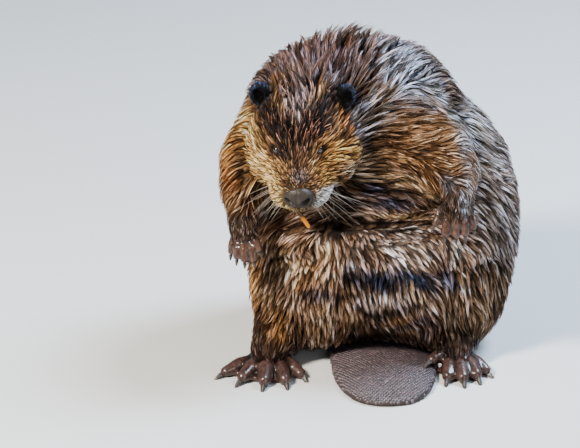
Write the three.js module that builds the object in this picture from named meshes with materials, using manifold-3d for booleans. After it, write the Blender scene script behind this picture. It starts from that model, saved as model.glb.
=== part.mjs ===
// A life-size beaver sitting up on its rump, head bowed and both forepaws on its belly, combing its wet coat.
//
// Millimetres, +Z up. The beaver faces -Y and its own left side is +X. The origin is on the floor, under the
// middle of the body, in the flat underside of the tail that it sits on.
//
// The living form is written as a field: rounded masses for muscle and fat, melted into each other. A field is
// negative inside the body and positive outside. Each sub-part starts as a three.js sphere or capsule, and each
// of its vertices slides along its own ray until it meets the field. Neighbours are then parted by thin cuts.

import * as THREE from "three";
import { mergeVertices } from "three/addons/utils/BufferGeometryUtils.js";
import Module from "manifold-3d";

const wasm = await Module();
wasm.setup();

// ---------------------------------------------------------------- driving dimensions

const PARTING = 0.5; // the thin cut between two neighbours
const FLOOR = 0; // the level that rump, soles and tail rest on

// Soft masses of the trunk: centre and half sizes. The chest sits to the right of the hips, as the beaver leans.
const TRUNK = {
  hips: { at: v(15, 10, 126), r: v(171, 144, 138) },
  belly: { at: v(8, -50, 116), r: v(150, 102, 84) },
  rightThigh: { at: v(-82, -30, 62), r: v(72, 92, 72) },
  leftThigh: { at: v(92, -26, 66), r: v(78, 92, 76) },
  flank: { at: v(64, 36, 166), r: v(122, 110, 122) },
  loin: { at: v(-2, 72, 190), r: v(112, 84, 122) },
  chest: { at: v(-30, 20, 250), r: v(142, 112, 110) },
  nape: { at: v(-38, 20, 306), r: v(116, 90, 82) },
  hump: { at: v(28, 35, 300), r: v(76, 84, 76) },
  shoulder: { at: v(84, 30, 218), r: v(84, 88, 84) },
  rump: { at: v(4, 74, 78), r: v(120, 92, 84) },
};
const TRUNK_HEART = v(-4, 10, 170); // every ray to the trunk's surface starts here

// The head's place and pose.
const HEAD = {
  at: v(-85, -90, 302), // middle of the braincase
  bow: 32, // degrees that the nose points below the horizon
  turn: -6, // degrees that it looks to the beaver's right
  tilt: -1, // degrees that the crown leans over
};

const EAR = { out: 52, back: 26, up: 36, r: v(13, 6, 17), cup: v(9, 5, 12), turn: 20, nod: -22 };
const EYE = { back: -46, out: v(0.79, -0.1, 0.62), r: 6.5, proud: 2.4 };
const INCISOR = { length: 42, width: 7, thick: 5.5, at: v(-8, -84, -36), lean: 14, slant: 28 };

// The round cut that parts each thigh from the trunk.
const THIGH = {
  left: { at: v(176, -40, 56), r: v(112, 92, 84) },
  right: { at: v(-172, -44, 56), r: v(112, 92, 84) },
};

// Fillets where masses melt into each other.
const MELT = { trunk: 34, skull: 13, nose: 6, neck: 22, arm: 30, tail: 14 };

// How finely a sphere is divided: each step adds a row of triangles to each of its 20 faces.
const FINE = { trunk: 7, head: 7, headCutter: 4, thighCut: 2, ear: 2, earCup: 1, eye: 1 };
const CLAW = { fore: { length: 9, width: 2.6 }, hind: { length: 15, width: 4.2 } };
const WEB = { thick: 5, lift: 2 };

const TAIL = { length: 270, width: 131, thick: 20, edge: 7, waist: 0.42, tipY: -240, midX: 14, turn: 2 };

// ---------------------------------------------------------------- small helpers

function v(x, y, z) {
  return new THREE.Vector3(x, y, z);
}

const degrees = THREE.MathUtils.degToRad;

// ---------------------------------------------------------------- fields

// An ellipsoid, turned by Euler angles in degrees.
function ball(at, r, turn = [0, 0, 0]) {
  const back = new THREE.Quaternion().setFromEuler(new THREE.Euler(...turn.map(degrees))).invert();
  const squared = r.clone().multiply(r);
  return (p) => {
    const q = p.clone().sub(at).applyQuaternion(back);
    const near = q.clone().divide(r).length();
    const steep = q.divide(squared).length();
    return near < 1e-6 ? -Math.min(r.x, r.y, r.z) : (near * (near - 1)) / steep;
  };
}

// A limb: straight bones through the stations, each station being [x, y, z, radius].
function bones(stations) {
  const knots = stations.map(([x, y, z, r]) => ({ at: v(x, y, z), r }));
  return (p) => {
    let best = Infinity;
    for (let i = 1; i < knots.length; i++) {
      const a = knots[i - 1];
      const b = knots[i];
      const along = b.at.clone().sub(a.at);
      const t = THREE.MathUtils.clamp(p.clone().sub(a.at).dot(along) / along.lengthSq(), 0, 1);
      const d = p.distanceTo(a.at.clone().addScaledVector(along, t)) - THREE.MathUtils.lerp(a.r, b.r, t);
      best = Math.min(best, d);
    }
    return best;
  };
}

// Several masses melted into one, with a fillet of about the given radius where they meet.
function melted(fields, radius) {
  return (p) =>
    fields
      .map((f) => f(p))
      .reduce((a, b) => {
        const h = Math.max(radius - Math.abs(a - b), 0) / radius;
        return Math.min(a, b) - (h * h * radius) / 4;
      });
}

// The same form, smaller by a depth, so that a limb's skin dips under the trunk's where it has no fillet.
const sunk = (field, depth) => (p) => field(p) + depth;
const SINK = 4;

// ---------------------------------------------------------------- from field to solid

// Slides from a point inside, along a ray, to where the field reaches the level, or to the reach of the part.
function meet(from, towards, reach, field, level) {
  let t = 0;
  for (let step = 0; step < 90 && t < reach; step++) {
    const depth = level - field(from.clone().addScaledVector(towards, t));
    if (depth < 0.02) break;
    t += Math.max(depth * 0.8, 0.03);
  }
  return from.clone().addScaledVector(towards, Math.min(t, reach));
}

function solidOf(geometry) {
  const bare = geometry.clone();
  bare.deleteAttribute("normal");
  bare.deleteAttribute("uv");
  const merged = mergeVertices(bare, 1e-3);
  return new wasm.Manifold(
    new wasm.Mesh({
      numProp: 3,
      vertProperties: merged.attributes.position.array,
      triVerts: new Uint32Array(merged.index.array),
    }),
  );
}

// A sphere whose vertices slide out from the centre to the field.
function wrapBall(centre, detail, field, level = 0, reach = 400) {
  const sphere = new THREE.IcosahedronGeometry(1, detail);
  const points = sphere.attributes.position;
  for (let i = 0; i < points.count; i++) {
    const towards = v(points.getX(i), points.getY(i), points.getZ(i)).normalize();
    const met = meet(centre, towards, reach, field, level);
    points.setXYZ(i, met.x, met.y, met.z);
  }
  return solidOf(sphere);
}

// A capsule bent along the stations, whose vertices slide out from its axis to the field.
function wrapLimb(stations, { around, along, cap = 3, field = bones(stations), level = 0, reach = 1.6 }) {
  const curve = new THREE.CatmullRomCurve3(stations.map(([x, y, z]) => v(x, y, z)));
  const frames = curve.computeFrenetFrames(along, false);
  const radii = stations.map((s) => s[3]);
  const radiusAt = (t) => {
    const i = Math.min(Math.floor(t * (radii.length - 1)), radii.length - 2);
    return THREE.MathUtils.lerp(radii[i], radii[i + 1], t * (radii.length - 1) - i);
  };
  const capsule = new THREE.CapsuleGeometry(1, along, cap, around, along);
  const points = capsule.attributes.position;
  for (let i = 0; i < points.count; i++) {
    const p = v(points.getX(i), points.getY(i) + along / 2, points.getZ(i));
    const row = Math.round(THREE.MathUtils.clamp(p.y, 0, along));
    const t = row / along;
    const beyond = p.y - THREE.MathUtils.clamp(p.y, 0, along);
    const towards = v(0, 0, 0)
      .addScaledVector(frames.normals[row], p.x)
      .addScaledVector(frames.binormals[row], p.z)
      .addScaledVector(frames.tangents[row], beyond)
      .normalize();
    const met = meet(curve.getPointAt(t), towards, radiusAt(t) * reach, field, level);
    points.setXYZ(i, met.x, met.y, met.z);
  }
  const made = solidOf(capsule);
  return made.volume() < 0 ? solidOf(flipped(capsule)) : made;
}

function flipped(geometry) {
  const turned = geometry.clone();
  const index = turned.index.array;
  for (let i = 0; i < index.length; i += 3) [index[i + 1], index[i + 2]] = [index[i + 2], index[i + 1]];
  return turned;
}

function slab(low, high) {
  const size = high.clone().sub(low);
  const box = new THREE.BoxGeometry(size.x, size.y, size.z);
  box.translate(...low.clone().add(high).multiplyScalar(0.5).toArray());
  return solidOf(box);
}

const underground = slab(v(-600, -600, FLOOR - 300), v(600, 600, FLOOR));

const joined = (solids) => solids.reduce((a, b) => a.add(b));

// The largest of the bodies that a cut leaves, which drops slivers.
const largest = (solid) => solid.decompose().sort((a, b) => b.volume() - a.volume())[0];

function meshOf(name, solid, material) {
  const made = largest(solid).getMesh();
  const geometry = new THREE.BufferGeometry();
  geometry.setAttribute("position", new THREE.BufferAttribute(new Float32Array(made.vertProperties), 3));
  geometry.setIndex(new THREE.BufferAttribute(new Uint32Array(made.triVerts), 1));
  geometry.computeVertexNormals();
  const mesh = new THREE.Mesh(geometry, material);
  mesh.name = name;
  return mesh;
}

// ---------------------------------------------------------------- materials

const paint = (color, roughness, metalness = 0) => new THREE.MeshStandardMaterial({ color, roughness, metalness });

const WET_FUR = paint(0x4a3020, 0.45);
const FACE_FUR = paint(0x6b4a2e, 0.6);
const BARE_SKIN = paint(0x2e1f19, 0.5);
const TAIL_SKIN = paint(0x4b3f3e, 0.55);
const EYE_GLOSS = paint(0x0b0807, 0.08);
const ENAMEL = paint(0xd8761a, 0.3);
const HORN = paint(0x1d1512, 0.35);

// ---------------------------------------------------------------- the body's masses

const torso = melted(
  Object.values(TRUNK).map(({ at, r }) => ball(at, r)),
  MELT.trunk,
);

// The head's own frame: +X to its left, -Y to the nose and +Z to the crown.
const headPlace = new THREE.Group();
headPlace.position.copy(HEAD.at);
headPlace.rotation.set(degrees(HEAD.bow), degrees(HEAD.tilt), degrees(HEAD.turn), "ZXY");
headPlace.updateMatrixWorld(true);
const intoHead = headPlace.matrixWorld.clone().invert();

const skull = melted(
  [
    ball(v(0, 4, 0), v(62, 74, 51)), // braincase
    ball(v(36, -12, -20), v(34, 52, 40)), // left cheek and jaw muscle
    ball(v(-36, -12, -20), v(34, 52, 40)), // right cheek
    ball(v(0, -54, -3), v(34, 46, 36)), // bridge of the muzzle
    ball(v(17, -78, -18), v(21, 25, 22)), // left whisker pad
    ball(v(-17, -78, -18), v(21, 25, 22)), // right whisker pad
    ball(v(0, -62, -44), v(24, 30, 18)), // chin
  ],
  MELT.skull,
);
const nosePad = ball(v(0, -94, -2), v(19, 15, 15));
const headForm = melted([skull, nosePad], MELT.nose);
const HEAD_HEART = v(0, -20, -8); // every ray to the head's surface starts here
const headInWorld = (p) => headForm(p.clone().applyMatrix4(intoHead));

// ---------------------------------------------------------------- stations of neck and limbs

const NECK = [
  [-52, 4, 284, 72],
  [-62, -24, 292, 70],
  [-70, -48, 296, 64],
];

// Each arm runs from the shoulder over the elbow to the wrist.
const ARMS = {
  left: [
    [36, -20, 284, 60],
    [74, -56, 268, 50],
    [98, -94, 254, 37],
    [104, -126, 240, 23],
  ],
  right: [
    [-104, -10, 274, 58],
    [-146, -44, 250, 46],
    [-161, -82, 226, 34],
    [-158, -112, 208, 22],
  ],
};

// Each hand: a palm, and five digits, thumb first, each given as wrist end, knuckle and tip.
const HANDS = {
  left: {
    palm: [
      [105, -128, 240, 20],
      [103, -143, 224, 17.5],
    ],
    digits: [
      [[88, -144, 224, 6.5], [78.5, -156, 214, 6.2], [74.5, -158, 206, 5.2]],
      [[93, -149, 221, 6.8], [88, -163, 208, 6.4], [86.5, -165, 194.5, 5.2]],
      [[100, -151, 220, 6.8], [99, -166, 208, 6.2], [99.5, -167, 193.5, 5]],
      [[107, -150, 220, 6.6], [109, -164, 209, 6], [110.5, -165, 195, 4.8]],
      [[113, -145, 221, 6.4], [117.5, -158, 212, 6], [120, -159, 201, 4.9]],
    ],
  },
  right: {
    palm: [
      [-158, -112, 206, 19.5],
      [-157.5, -127, 184, 16.5],
    ],
    digits: [
      [[-147, -131, 181, 6.5], [-142, -142, 175.5, 6], [-138.5, -145, 167.5, 5]],
      [[-151, -134, 174, 6.8], [-146.5, -146, 165.5, 6.2], [-145, -147, 155.5, 5.2]],
      [[-157.5, -135, 173, 6.8], [-156, -147, 164.5, 6.2], [-156, -147.5, 155, 5.2]],
      [[-163.5, -132, 173, 6.6], [-165, -142, 165.5, 6], [-165.5, -142.5, 157, 5]],
      [[-168, -125, 175, 6.4], [-171.5, -133, 167.5, 5.8], [-172.5, -133, 160, 4.8]],
    ],
  },
};

// Each hind foot: the sole from heel to ball, and its five toes, inner toe first, as ball end, knuckle and tip.
const FEET = {
  left: {
    heel: [94, -48, 31, 34],
    ankle: [100, -88, 28, 29],
    ball: [105, -114, 18, 21],
    toes: [
      [[92, -112, 18, 10], [80, -124, 20, 9], [73, -133, 18, 7]],
      [[98, -116, 12, 11], [95, -144, 13, 10], [92, -161, 7, 8]],
      [[106, -118, 13, 11], [109, -147, 14, 10], [111, -166, 7, 8]],
      [[113, -116, 12, 11], [123, -140, 13, 10], [128, -156, 7, 8]],
      [[118, -110, 11, 10], [133, -128, 12, 9], [141, -138, 6, 7]],
    ],
  },
  right: {
    heel: [-104, -44, 33, 36],
    ankle: [-118, -92, 30, 30],
    ball: [-128, -122, 19, 23],
    toes: [
      [[-110, -120, 11, 10], [-95, -138, 12, 9], [-87, -150, 6, 7]],
      [[-118, -126, 12, 11], [-111, -153, 13, 10], [-107, -171, 7, 8]],
      [[-128, -128, 13, 11], [-131, -157, 15, 11], [-133, -177, 7, 8]],
      [[-138, -124, 12, 11], [-151, -148, 13, 10], [-160, -164, 7, 8]],
      [[-146, -118, 11, 10], [-168, -133, 12, 9], [-182, -143, 6, 7]],
    ],
  },
};

// ---------------------------------------------------------------- tail

// The scaly paddle: a sphere flattened to a lens, with a blunt oval outline and a flat underside.
function paddle(grow = 0) {
  const rise = (out) => TAIL.edge + (TAIL.thick - TAIL.edge) * (1 - out ** 2.4) + grow;
  const rings = [0.96, 0.84, 0.62, 0.34, 0].map((out) => new THREE.Vector2(out, rise(out)));
  const rim = [new THREE.Vector2(1, -grow), new THREE.Vector2(1, TAIL.edge * 0.6)];
  const lens = new THREE.LatheGeometry([new THREE.Vector2(0, -grow), ...rim, ...rings], 28);
  lens.rotateX(Math.PI / 2);
  const points = lens.attributes.position;
  const BLUNT = 2.5; // exponent of the outline: 2 is an ellipse
  for (let i = 0; i < points.count; i++) {
    const [x, y] = [points.getX(i), points.getY(i)];
    const swing = Math.atan2(y, x);
    const corner = Math.abs(Math.cos(swing)) ** BLUNT + Math.abs(Math.sin(swing)) ** BLUNT;
    const outline = Math.hypot(x, y) * corner ** (-1 / BLUNT);
    const waist = 1 - TAIL.waist * THREE.MathUtils.smoothstep(y, 0.2, 1);
    points.setX(i, (TAIL.width / 2 + grow) * waist * Math.cos(swing) * outline);
    points.setY(i, (TAIL.length / 2 + grow) * Math.sin(swing) * outline);
  }
  lens.rotateZ(degrees(TAIL.turn));
  lens.translate(TAIL.midX, TAIL.tipY + TAIL.length / 2, 0);
  return solidOf(lens);
}

// The furred root comes down from the rump and turns forward under the body.
const TAIL_ROOT = [
  [TAIL.midX - 2, 4, 22, 26],
  [TAIL.midX - 6, 52, 30, 36],
  [4, 104, 52, 42],
];

function tailRoot(level) {
  const field = melted([sunk(torso, SINK), bones(TAIL_ROOT)], MELT.tail);
  return wrapLimb(TAIL_ROOT, { around: 10, along: 4, cap: 2, field, level, reach: 1.25 });
}

// ---------------------------------------------------------------- trunk, neck and head

const trunkCore = (level) => wrapBall(TRUNK_HEART, FINE.trunk, torso, level);

const neckForm = bones(NECK);

function neckSolid(level) {
  const field = melted([sunk(torso, SINK), neckForm, headInWorld], MELT.neck);
  return wrapLimb(NECK, { around: 16, along: 2, cap: 3, field, level, reach: 1.25 + level / 100 });
}

const headSolid = (level, detail = FINE.head) => wrapBall(HEAD_HEART, detail, headForm, level, 140);

// The form that the head is parted by. Its facets are large, so it stands a little further off.
const headCutter = () => headSolid(PARTING + 1.6, FINE.headCutter);

const toWorld = (solid) => solid.transform(Array.from(headPlace.matrixWorld.elements));

const earTurn = (s) => [EAR.nod, EAR.turn * s, -EAR.turn * s];
const earPlace = (s) => v(EAR.out * s, EAR.back, EAR.up);

function earShell(s, level = 0) {
  return wrapBall(earPlace(s), FINE.ear, ball(earPlace(s), EAR.r, earTurn(s)), level, 40);
}

function ear(s) {
  const cup = earPlace(s).add(v(2 * s, -6, 3));
  const hollow = wrapBall(cup, FINE.earCup, ball(cup, EAR.cup, earTurn(s)), 0, 40);
  return earShell(s).subtract(hollow).subtract(headSolid(PARTING));
}

function eye(s) {
  const out = v(EYE.out.x * s, EYE.out.y, EYE.out.z).normalize();
  const at = meet(v(0, EYE.back, 0), out, 90, headForm, 0).addScaledVector(out, EYE.proud - EYE.r);
  return wrapBall(at, FINE.eye, ball(at, v(EYE.r, EYE.r, EYE.r)), 0, 20).subtract(headSolid(PARTING));
}

// One orange incisor shows below the lip. The jaw is slid aside, so the tooth slants to the beaver's left.
function incisor() {
  const chisel = new THREE.CapsuleGeometry(INCISOR.width / 2, INCISOR.length - INCISOR.width, 2, 8, 1);
  chisel.scale(1, 1, INCISOR.thick / INCISOR.width);
  chisel.translate(0, -INCISOR.length / 2, 0);
  chisel.rotateX(Math.PI / 2 - degrees(INCISOR.lean));
  chisel.rotateY(-degrees(INCISOR.slant));
  chisel.translate(...INCISOR.at.toArray());
  return solidOf(chisel).subtract(headSolid(PARTING));
}

// ---------------------------------------------------------------- hands, feet and claws

function digit(stations, grow = 0) {
  const plump = stations.map(([x, y, z, r]) => [x, y, z, r + grow]);
  return wrapLimb(plump, { around: 6, along: 2, cap: 1, reach: 1.3 });
}

function hand(side) {
  const { palm, digits } = HANDS[side];
  return joined([wrapLimb(palm, { around: 8, along: 2, cap: 2 }), ...digits.map((d) => digit(d))]);
}

// The web is a thin fan from the ball of the foot to just short of the toe tips.
function web({ ball: [bx, by], toes }) {
  const tips = toes.map(([, , [x, y]]) => new THREE.Vector2(x, y));
  const heart = new THREE.Vector2(bx, by + 6);
  const fan = new THREE.Shape();
  fan.moveTo(heart.x, heart.y);
  tips.forEach((tip, i) => {
    const short = tip.clone().lerp(heart, 0.1);
    if (i === 0) {
      fan.lineTo(short.x, short.y);
      return;
    }
    const between = tips[i - 1].clone().add(tip).multiplyScalar(0.5).lerp(heart, 0.26);
    fan.quadraticCurveTo(between.x, between.y, short.x, short.y);
  });
  const sheet = new THREE.ExtrudeGeometry(fan, { depth: WEB.thick, bevelEnabled: false, curveSegments: 2 });
  sheet.translate(0, 0, WEB.lift);
  return solidOf(sheet);
}

function foot(side) {
  const { heel, ankle, ball: ballOfFoot, toes } = FEET[side];
  const sole = wrapLimb([heel, ankle, ballOfFoot], { around: 10, along: 4, cap: 2 });
  return joined([sole, web(FEET[side]), ...toes.map((t) => digit(t))]).subtract(underground);
}

// A claw is a small bent cone on the last joint of a digit, parted from it by the thin cut.
function claw(stations, { length, width }, droop) {
  const [, knuckle, last] = stations.map(([x, y, z]) => v(x, y, z));
  const along = last.clone().sub(knuckle).normalize();
  const root = last.clone().addScaledVector(along, stations[2][3] * 0.3);
  const end = root.clone().addScaledVector(along, length).addScaledVector(v(0, 0, 1), -droop);
  const bend = root.clone().lerp(end, 0.55).addScaledVector(v(0, 0, 1), droop * 0.5);
  const cone = [
    [...root.toArray(), width],
    [...bend.toArray(), width * 0.75],
    [...end.toArray(), width * 0.32],
  ];
  return wrapLimb(cone, { around: 4, along: 2, cap: 1, reach: 1.2 }).subtract(digit(stations, PARTING));
}

// ---------------------------------------------------------------- assembly

const beaver = new THREE.Group();
beaver.name = "beaver";
beaver.add(headPlace);

const trunkGrown = trunkCore(PARTING);
const headGrown = toWorld(headCutter());
const neckGrown = neckSolid(PARTING);

const thighCut = ({ at, r }, level) => wrapBall(at, FINE.thighCut, ball(at, r), level);
const body = trunkCore(0).subtract(headGrown).subtract(underground);
const trunk = [
  paddle(PARTING),
  tailRoot(PARTING),
  thighCut(THIGH.left, PARTING),
  thighCut(THIGH.right, PARTING),
].reduce((solid, cutter) => solid.subtract(cutter), body);
beaver.add(meshOf("trunk", trunk, WET_FUR));
const ears = toWorld(earShell(1, PARTING).add(earShell(-1, PARTING)));
beaver.add(meshOf("neck", neckSolid(0).subtract(trunkGrown).subtract(headGrown).subtract(ears), WET_FUR));
beaver.add(meshOf("tail_blade", paddle(), TAIL_SKIN));
beaver.add(meshOf("tail_root", tailRoot(0).subtract(paddle(PARTING)).subtract(underground), WET_FUR));

headPlace.add(meshOf("head", headSolid(0), FACE_FUR));
headPlace.add(meshOf("incisor", incisor(), ENAMEL));

for (const [side, s] of [["left", 1], ["right", -1]]) {
  headPlace.add(meshOf("ear_" + side, ear(s), BARE_SKIN));
  headPlace.add(meshOf("eye_" + side, eye(s), EYE_GLOSS));

  const armJoin = melted([sunk(torso, SINK), neckForm, bones(ARMS[side])], MELT.arm);
  const armOf = (level) => wrapLimb(ARMS[side], { around: 14, along: 6, cap: 2, field: armJoin, level, reach: 1.35 + level / 50 });
  const arm = armOf(0).subtract(trunkGrown).subtract(neckGrown).subtract(headGrown);
  beaver.add(meshOf("foreleg_" + side, arm, WET_FUR));
  beaver.add(meshOf("forefoot_" + side, hand(side).subtract(armOf(PARTING)).subtract(trunkGrown), BARE_SKIN));
  HANDS[side].digits.forEach((d, i) => {
    beaver.add(meshOf(`foreclaw_${side}_${i + 1}`, claw(d, CLAW.fore, 0).subtract(trunkGrown), HORN));
  });

  beaver.add(meshOf("hindleg_" + side, body.intersect(thighCut(THIGH[side], 0)), WET_FUR));
  const footFree = foot(side).subtract(trunkGrown).subtract(paddle(PARTING));
  beaver.add(meshOf("hindfoot_" + side, footFree, BARE_SKIN));
  FEET[side].toes.forEach((t, i) => {
    const free = claw(t, CLAW.hind, 3).subtract(paddle(PARTING)).subtract(underground);
    beaver.add(meshOf(`hindclaw_${side}_${i + 1}`, free, HORN));
  });
}

export default beaver;
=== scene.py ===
# %% [markdown]
# # A beaver combing its wet coat
#
# A life-size beaver sits up on its rump with its scaly tail laid forward between its feet. It has just
# left the water, so its guard hair hangs in wet clumps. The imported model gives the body's true size and
# outline, out to the tips of the coat. This notebook turns those solids into one skin, sinks that skin by
# the depth of the coat, and grows the coat back over it as thin solid locks of hair.

# %% Load the frame
import math

import bmesh
import bpy
import numpy as np
from mathutils import Matrix, Vector, noise
from mathutils.bvhtree import BVHTree
from mathutils.kdtree import KDTree


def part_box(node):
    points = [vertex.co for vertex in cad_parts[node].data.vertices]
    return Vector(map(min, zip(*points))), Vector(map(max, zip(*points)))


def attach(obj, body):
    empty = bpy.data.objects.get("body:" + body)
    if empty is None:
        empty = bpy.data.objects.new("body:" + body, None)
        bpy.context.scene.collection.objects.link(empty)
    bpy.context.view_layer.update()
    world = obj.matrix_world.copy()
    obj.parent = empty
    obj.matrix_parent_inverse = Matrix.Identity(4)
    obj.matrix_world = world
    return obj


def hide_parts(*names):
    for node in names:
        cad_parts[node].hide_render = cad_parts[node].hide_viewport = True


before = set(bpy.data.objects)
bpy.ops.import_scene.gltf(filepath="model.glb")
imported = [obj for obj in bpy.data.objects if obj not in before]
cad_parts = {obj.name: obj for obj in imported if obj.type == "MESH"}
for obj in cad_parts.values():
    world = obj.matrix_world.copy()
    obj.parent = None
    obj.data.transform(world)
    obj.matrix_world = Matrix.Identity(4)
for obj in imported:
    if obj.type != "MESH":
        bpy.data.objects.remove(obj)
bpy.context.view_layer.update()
MM = 0.001
SIDES = {"left": 1, "right": -1}  # the beaver's own left is +X

# %% [markdown]
# ## Camera, floor and light
#
# The viewer stands a few metres off and looks down a little on the sitting animal. A long lens keeps the
# belly and the far back at nearly one scale. The light is that of a studio. The key is a warm soft lamp
# high in front of the animal's right shoulder, and gives the wet hair its glints. A broad faint one fills
# from the front left. A broad cool one stands above the left shoulder and a little behind it, in place of
# the sky: it turns the wet back blue-grey, together with painted sky reflections in the markings.

# %% Camera
PIXEL = 1.25 * MM  # what one picture element covers at the body's middle plane
PICTURE = (580, 448)
VIEW_TILT = math.radians(20)  # how far the camera looks down
VIEW_DISTANCE = 5.0
LOOK_AT = Vector((-101, 0, 148.3)) * MM
SENSOR = 36.0

camera_data = bpy.data.cameras.new("camera")
camera_data.sensor_width = SENSOR
camera_data.lens = SENSOR * VIEW_DISTANCE / (PICTURE[0] * PIXEL)
camera_data.clip_start = 0.1
camera_data.clip_end = 60
camera = bpy.data.objects.new("camera", camera_data)
camera.location = LOOK_AT + VIEW_DISTANCE * Vector((0, -math.cos(VIEW_TILT), math.sin(VIEW_TILT)))
camera.rotation_euler = (math.pi / 2 - VIEW_TILT, 0, 0)
bpy.context.scene.collection.objects.link(camera)
bpy.context.scene.camera = camera
print("lens", round(camera_data.lens, 1), "mm")

# %% Floor and lights
def add_object(name, data):
    made = bpy.data.objects.new(name, data)
    bpy.context.scene.collection.objects.link(made)
    return made


def add_lamp(name, place, target, size, watts, colour):
    lamp = bpy.data.lights.new(name, "AREA")
    lamp.shape = "DISK"
    lamp.size = size
    lamp.energy = watts
    lamp.color = colour
    made = add_object(name, lamp)
    made.location = place
    made.rotation_euler = (Vector(target) - Vector(place)).to_track_quat("-Z", "Y").to_euler()


BODY_MIDDLE = (0, 0, 0.2)
LAMPS = (  # name, place, size and power in watts, colour
    ("key_light", (-1.5, -1.6, 2.1), 0.6, 262, (1.0, 0.93, 0.82)),
    ("fill_light", (1.6, -2.6, 1.2), 1.2, 24, (0.94, 0.97, 1.0)),
    ("sky_light", (1.3, 0.5, 2.2), 1.2, 215, (0.62, 0.78, 1.0)),
)
for name, place, size, watts, colour in LAMPS:
    add_lamp(name, place, BODY_MIDDLE, size, watts, colour)

world = bpy.data.worlds.new("studio")
world.use_nodes = True
background = world.node_tree.nodes["Background"].inputs
background["Color"].default_value = (0.86, 0.9, 0.95, 1)
background["Strength"].default_value = 0.22
bpy.context.scene.world = world

floor_mesh = bpy.data.meshes.new("floor")
floor_shape = bmesh.new()
bmesh.ops.create_grid(floor_shape, x_segments=1, y_segments=1, size=8)
floor_shape.to_mesh(floor_mesh)
floor_shape.free()
floor = add_object("floor", floor_mesh)
floor.location.z = -0.1 * MM  # just under the soles, so that the two don't share a plane
paper = bpy.data.materials.new("paper")
paper.use_nodes = True
paper_look = paper.node_tree.nodes["Principled BSDF"].inputs
paper_look["Base Color"].default_value = (0.52, 0.52, 0.52, 1)
paper_look["Roughness"].default_value = 0.9
floor_mesh.materials.append(paper)
print(len(LAMPS), "lamps and a floor")

# %% [markdown]
# ## One skin for the whole body
#
# Trunk, neck, head and legs are separate solids in the model, but a real beaver has one unbroken skin.
# Joining the solids by hand would leave steps at every cut. Instead a copy of each one is swollen until it
# overlaps its neighbours, and the Remesh modifier in voxel mode wraps the lot in one even net of small
# quads. Such a net is also what smoothing and sculpting need later. Hands, feet and ears get finer nets of
# their own, because the coarse one would web the digits, and a boolean union joins the nets.

# %% Wrap the flesh
BODY_VOXEL = 3.7 * MM
BODY_SWELL = 1.4 * MM  # closes the thin cuts between the solids
FINE_SWELL = 0.3 * MM  # and this leaves the gaps between fingers open

body_nodes = [
    "trunk",
    "neck",
    "head",
    "tail_root",
    "foreleg_left",
    "foreleg_right",
    "hindleg_left",
    "hindleg_right",
]
fine_nodes = {  # each with its own voxel in millimetres
    "forefoot_left": 1.2,
    "forefoot_right": 1.2,
    "hindfoot_left": 1.9,
    "hindfoot_right": 1.9,
    "ear_left": 1.3,
    "ear_right": 1.3,
}
flesh_nodes = body_nodes + list(fine_nodes)


def swollen_copy(node, amount):
    shape = bmesh.new()
    shape.from_mesh(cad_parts[node].data)
    bmesh.ops.remove_doubles(shape, verts=shape.verts, dist=0.02 * MM)
    shape.normal_update()
    moves = [(v, v.normal * amount) for v in shape.verts]
    for v, move in moves:
        v.co += move
    return shape


def applied(piece):
    """Makes the piece's modifiers part of its mesh."""
    mesh = bpy.data.meshes.new_from_object(piece.evaluated_get(bpy.context.evaluated_depsgraph_get()))
    piece.modifiers.clear()
    piece.data = mesh


def one_copy(nodes, amount):
    """The solids of these nodes in one bmesh, each face moved out by this amount."""
    joined = bmesh.new()
    for node in nodes:
        shape = swollen_copy(node, amount)
        scratch = bpy.data.meshes.new("scratch")
        shape.to_mesh(scratch)
        shape.free()
        joined.from_mesh(scratch)
        bpy.data.meshes.remove(scratch)
    return joined


def wrapped(name, nodes, swell, voxel):
    """One net of small quads around all these solids."""
    joined = one_copy(nodes, swell)
    mesh = bpy.data.meshes.new(name)
    joined.to_mesh(mesh)
    joined.free()
    piece = add_object(name, mesh)
    remesh = piece.modifiers.new("one_net", "REMESH")
    remesh.mode = "VOXEL"
    remesh.voxel_size = voxel
    applied(piece)
    return piece


skin = wrapped("skin", body_nodes, BODY_SWELL, BODY_VOXEL)
print("body net:", len(skin.data.polygons), "faces")

# %% Join the hands, feet and ears to it
for node, voxel in fine_nodes.items():
    small = wrapped(node + "_net", [node], FINE_SWELL, voxel * MM)
    union = skin.modifiers.new("join", "BOOLEAN")
    union.operation = "UNION"
    union.solver = "MANIFOLD"
    union.object = small
    applied(skin)
    bpy.data.objects.remove(small)
print("skin net:", len(skin.data.vertices), "corners,", len(skin.data.polygons), "faces")

# %% [markdown]
# ## Work on the net as arrays
#
# The net has tens of thousands of corners. Python loops over them would take minutes, so its corners,
# faces and edges are read into numpy arrays once, and smoothing, sinking and sculpting are sums over whole
# arrays.

# %% Arrays
def corners_of(mesh):
    flat = np.zeros(len(mesh.vertices) * 3)
    mesh.vertices.foreach_get("co", flat)
    return flat.reshape(-1, 3)


def edges_of(mesh):
    flat = np.zeros(len(mesh.edges) * 2, np.int64)
    mesh.edges.foreach_get("vertices", flat)
    return flat.reshape(-1, 2)


def triangles_of(mesh):
    mesh.calc_loop_triangles()
    flat = np.zeros(len(mesh.loop_triangles) * 3, np.int64)
    mesh.loop_triangles.foreach_get("vertices", flat)
    return flat.reshape(-1, 3)


def unit(vectors):
    return vectors / np.maximum(np.linalg.norm(vectors, axis=-1, keepdims=True), 1e-12)


def gathered(index, values, count):
    """Sums rows of values into the slots that index names."""
    return np.stack([np.bincount(index, values[:, k], count) for k in range(values.shape[1])], 1)


def normals_of(corners, triangles):
    a, b, c = (corners[triangles[:, k]] for k in range(3))
    face = np.cross(b - a, c - a)
    total = sum(gathered(triangles[:, k], face, len(corners)) for k in range(3))
    return unit(total)


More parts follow.
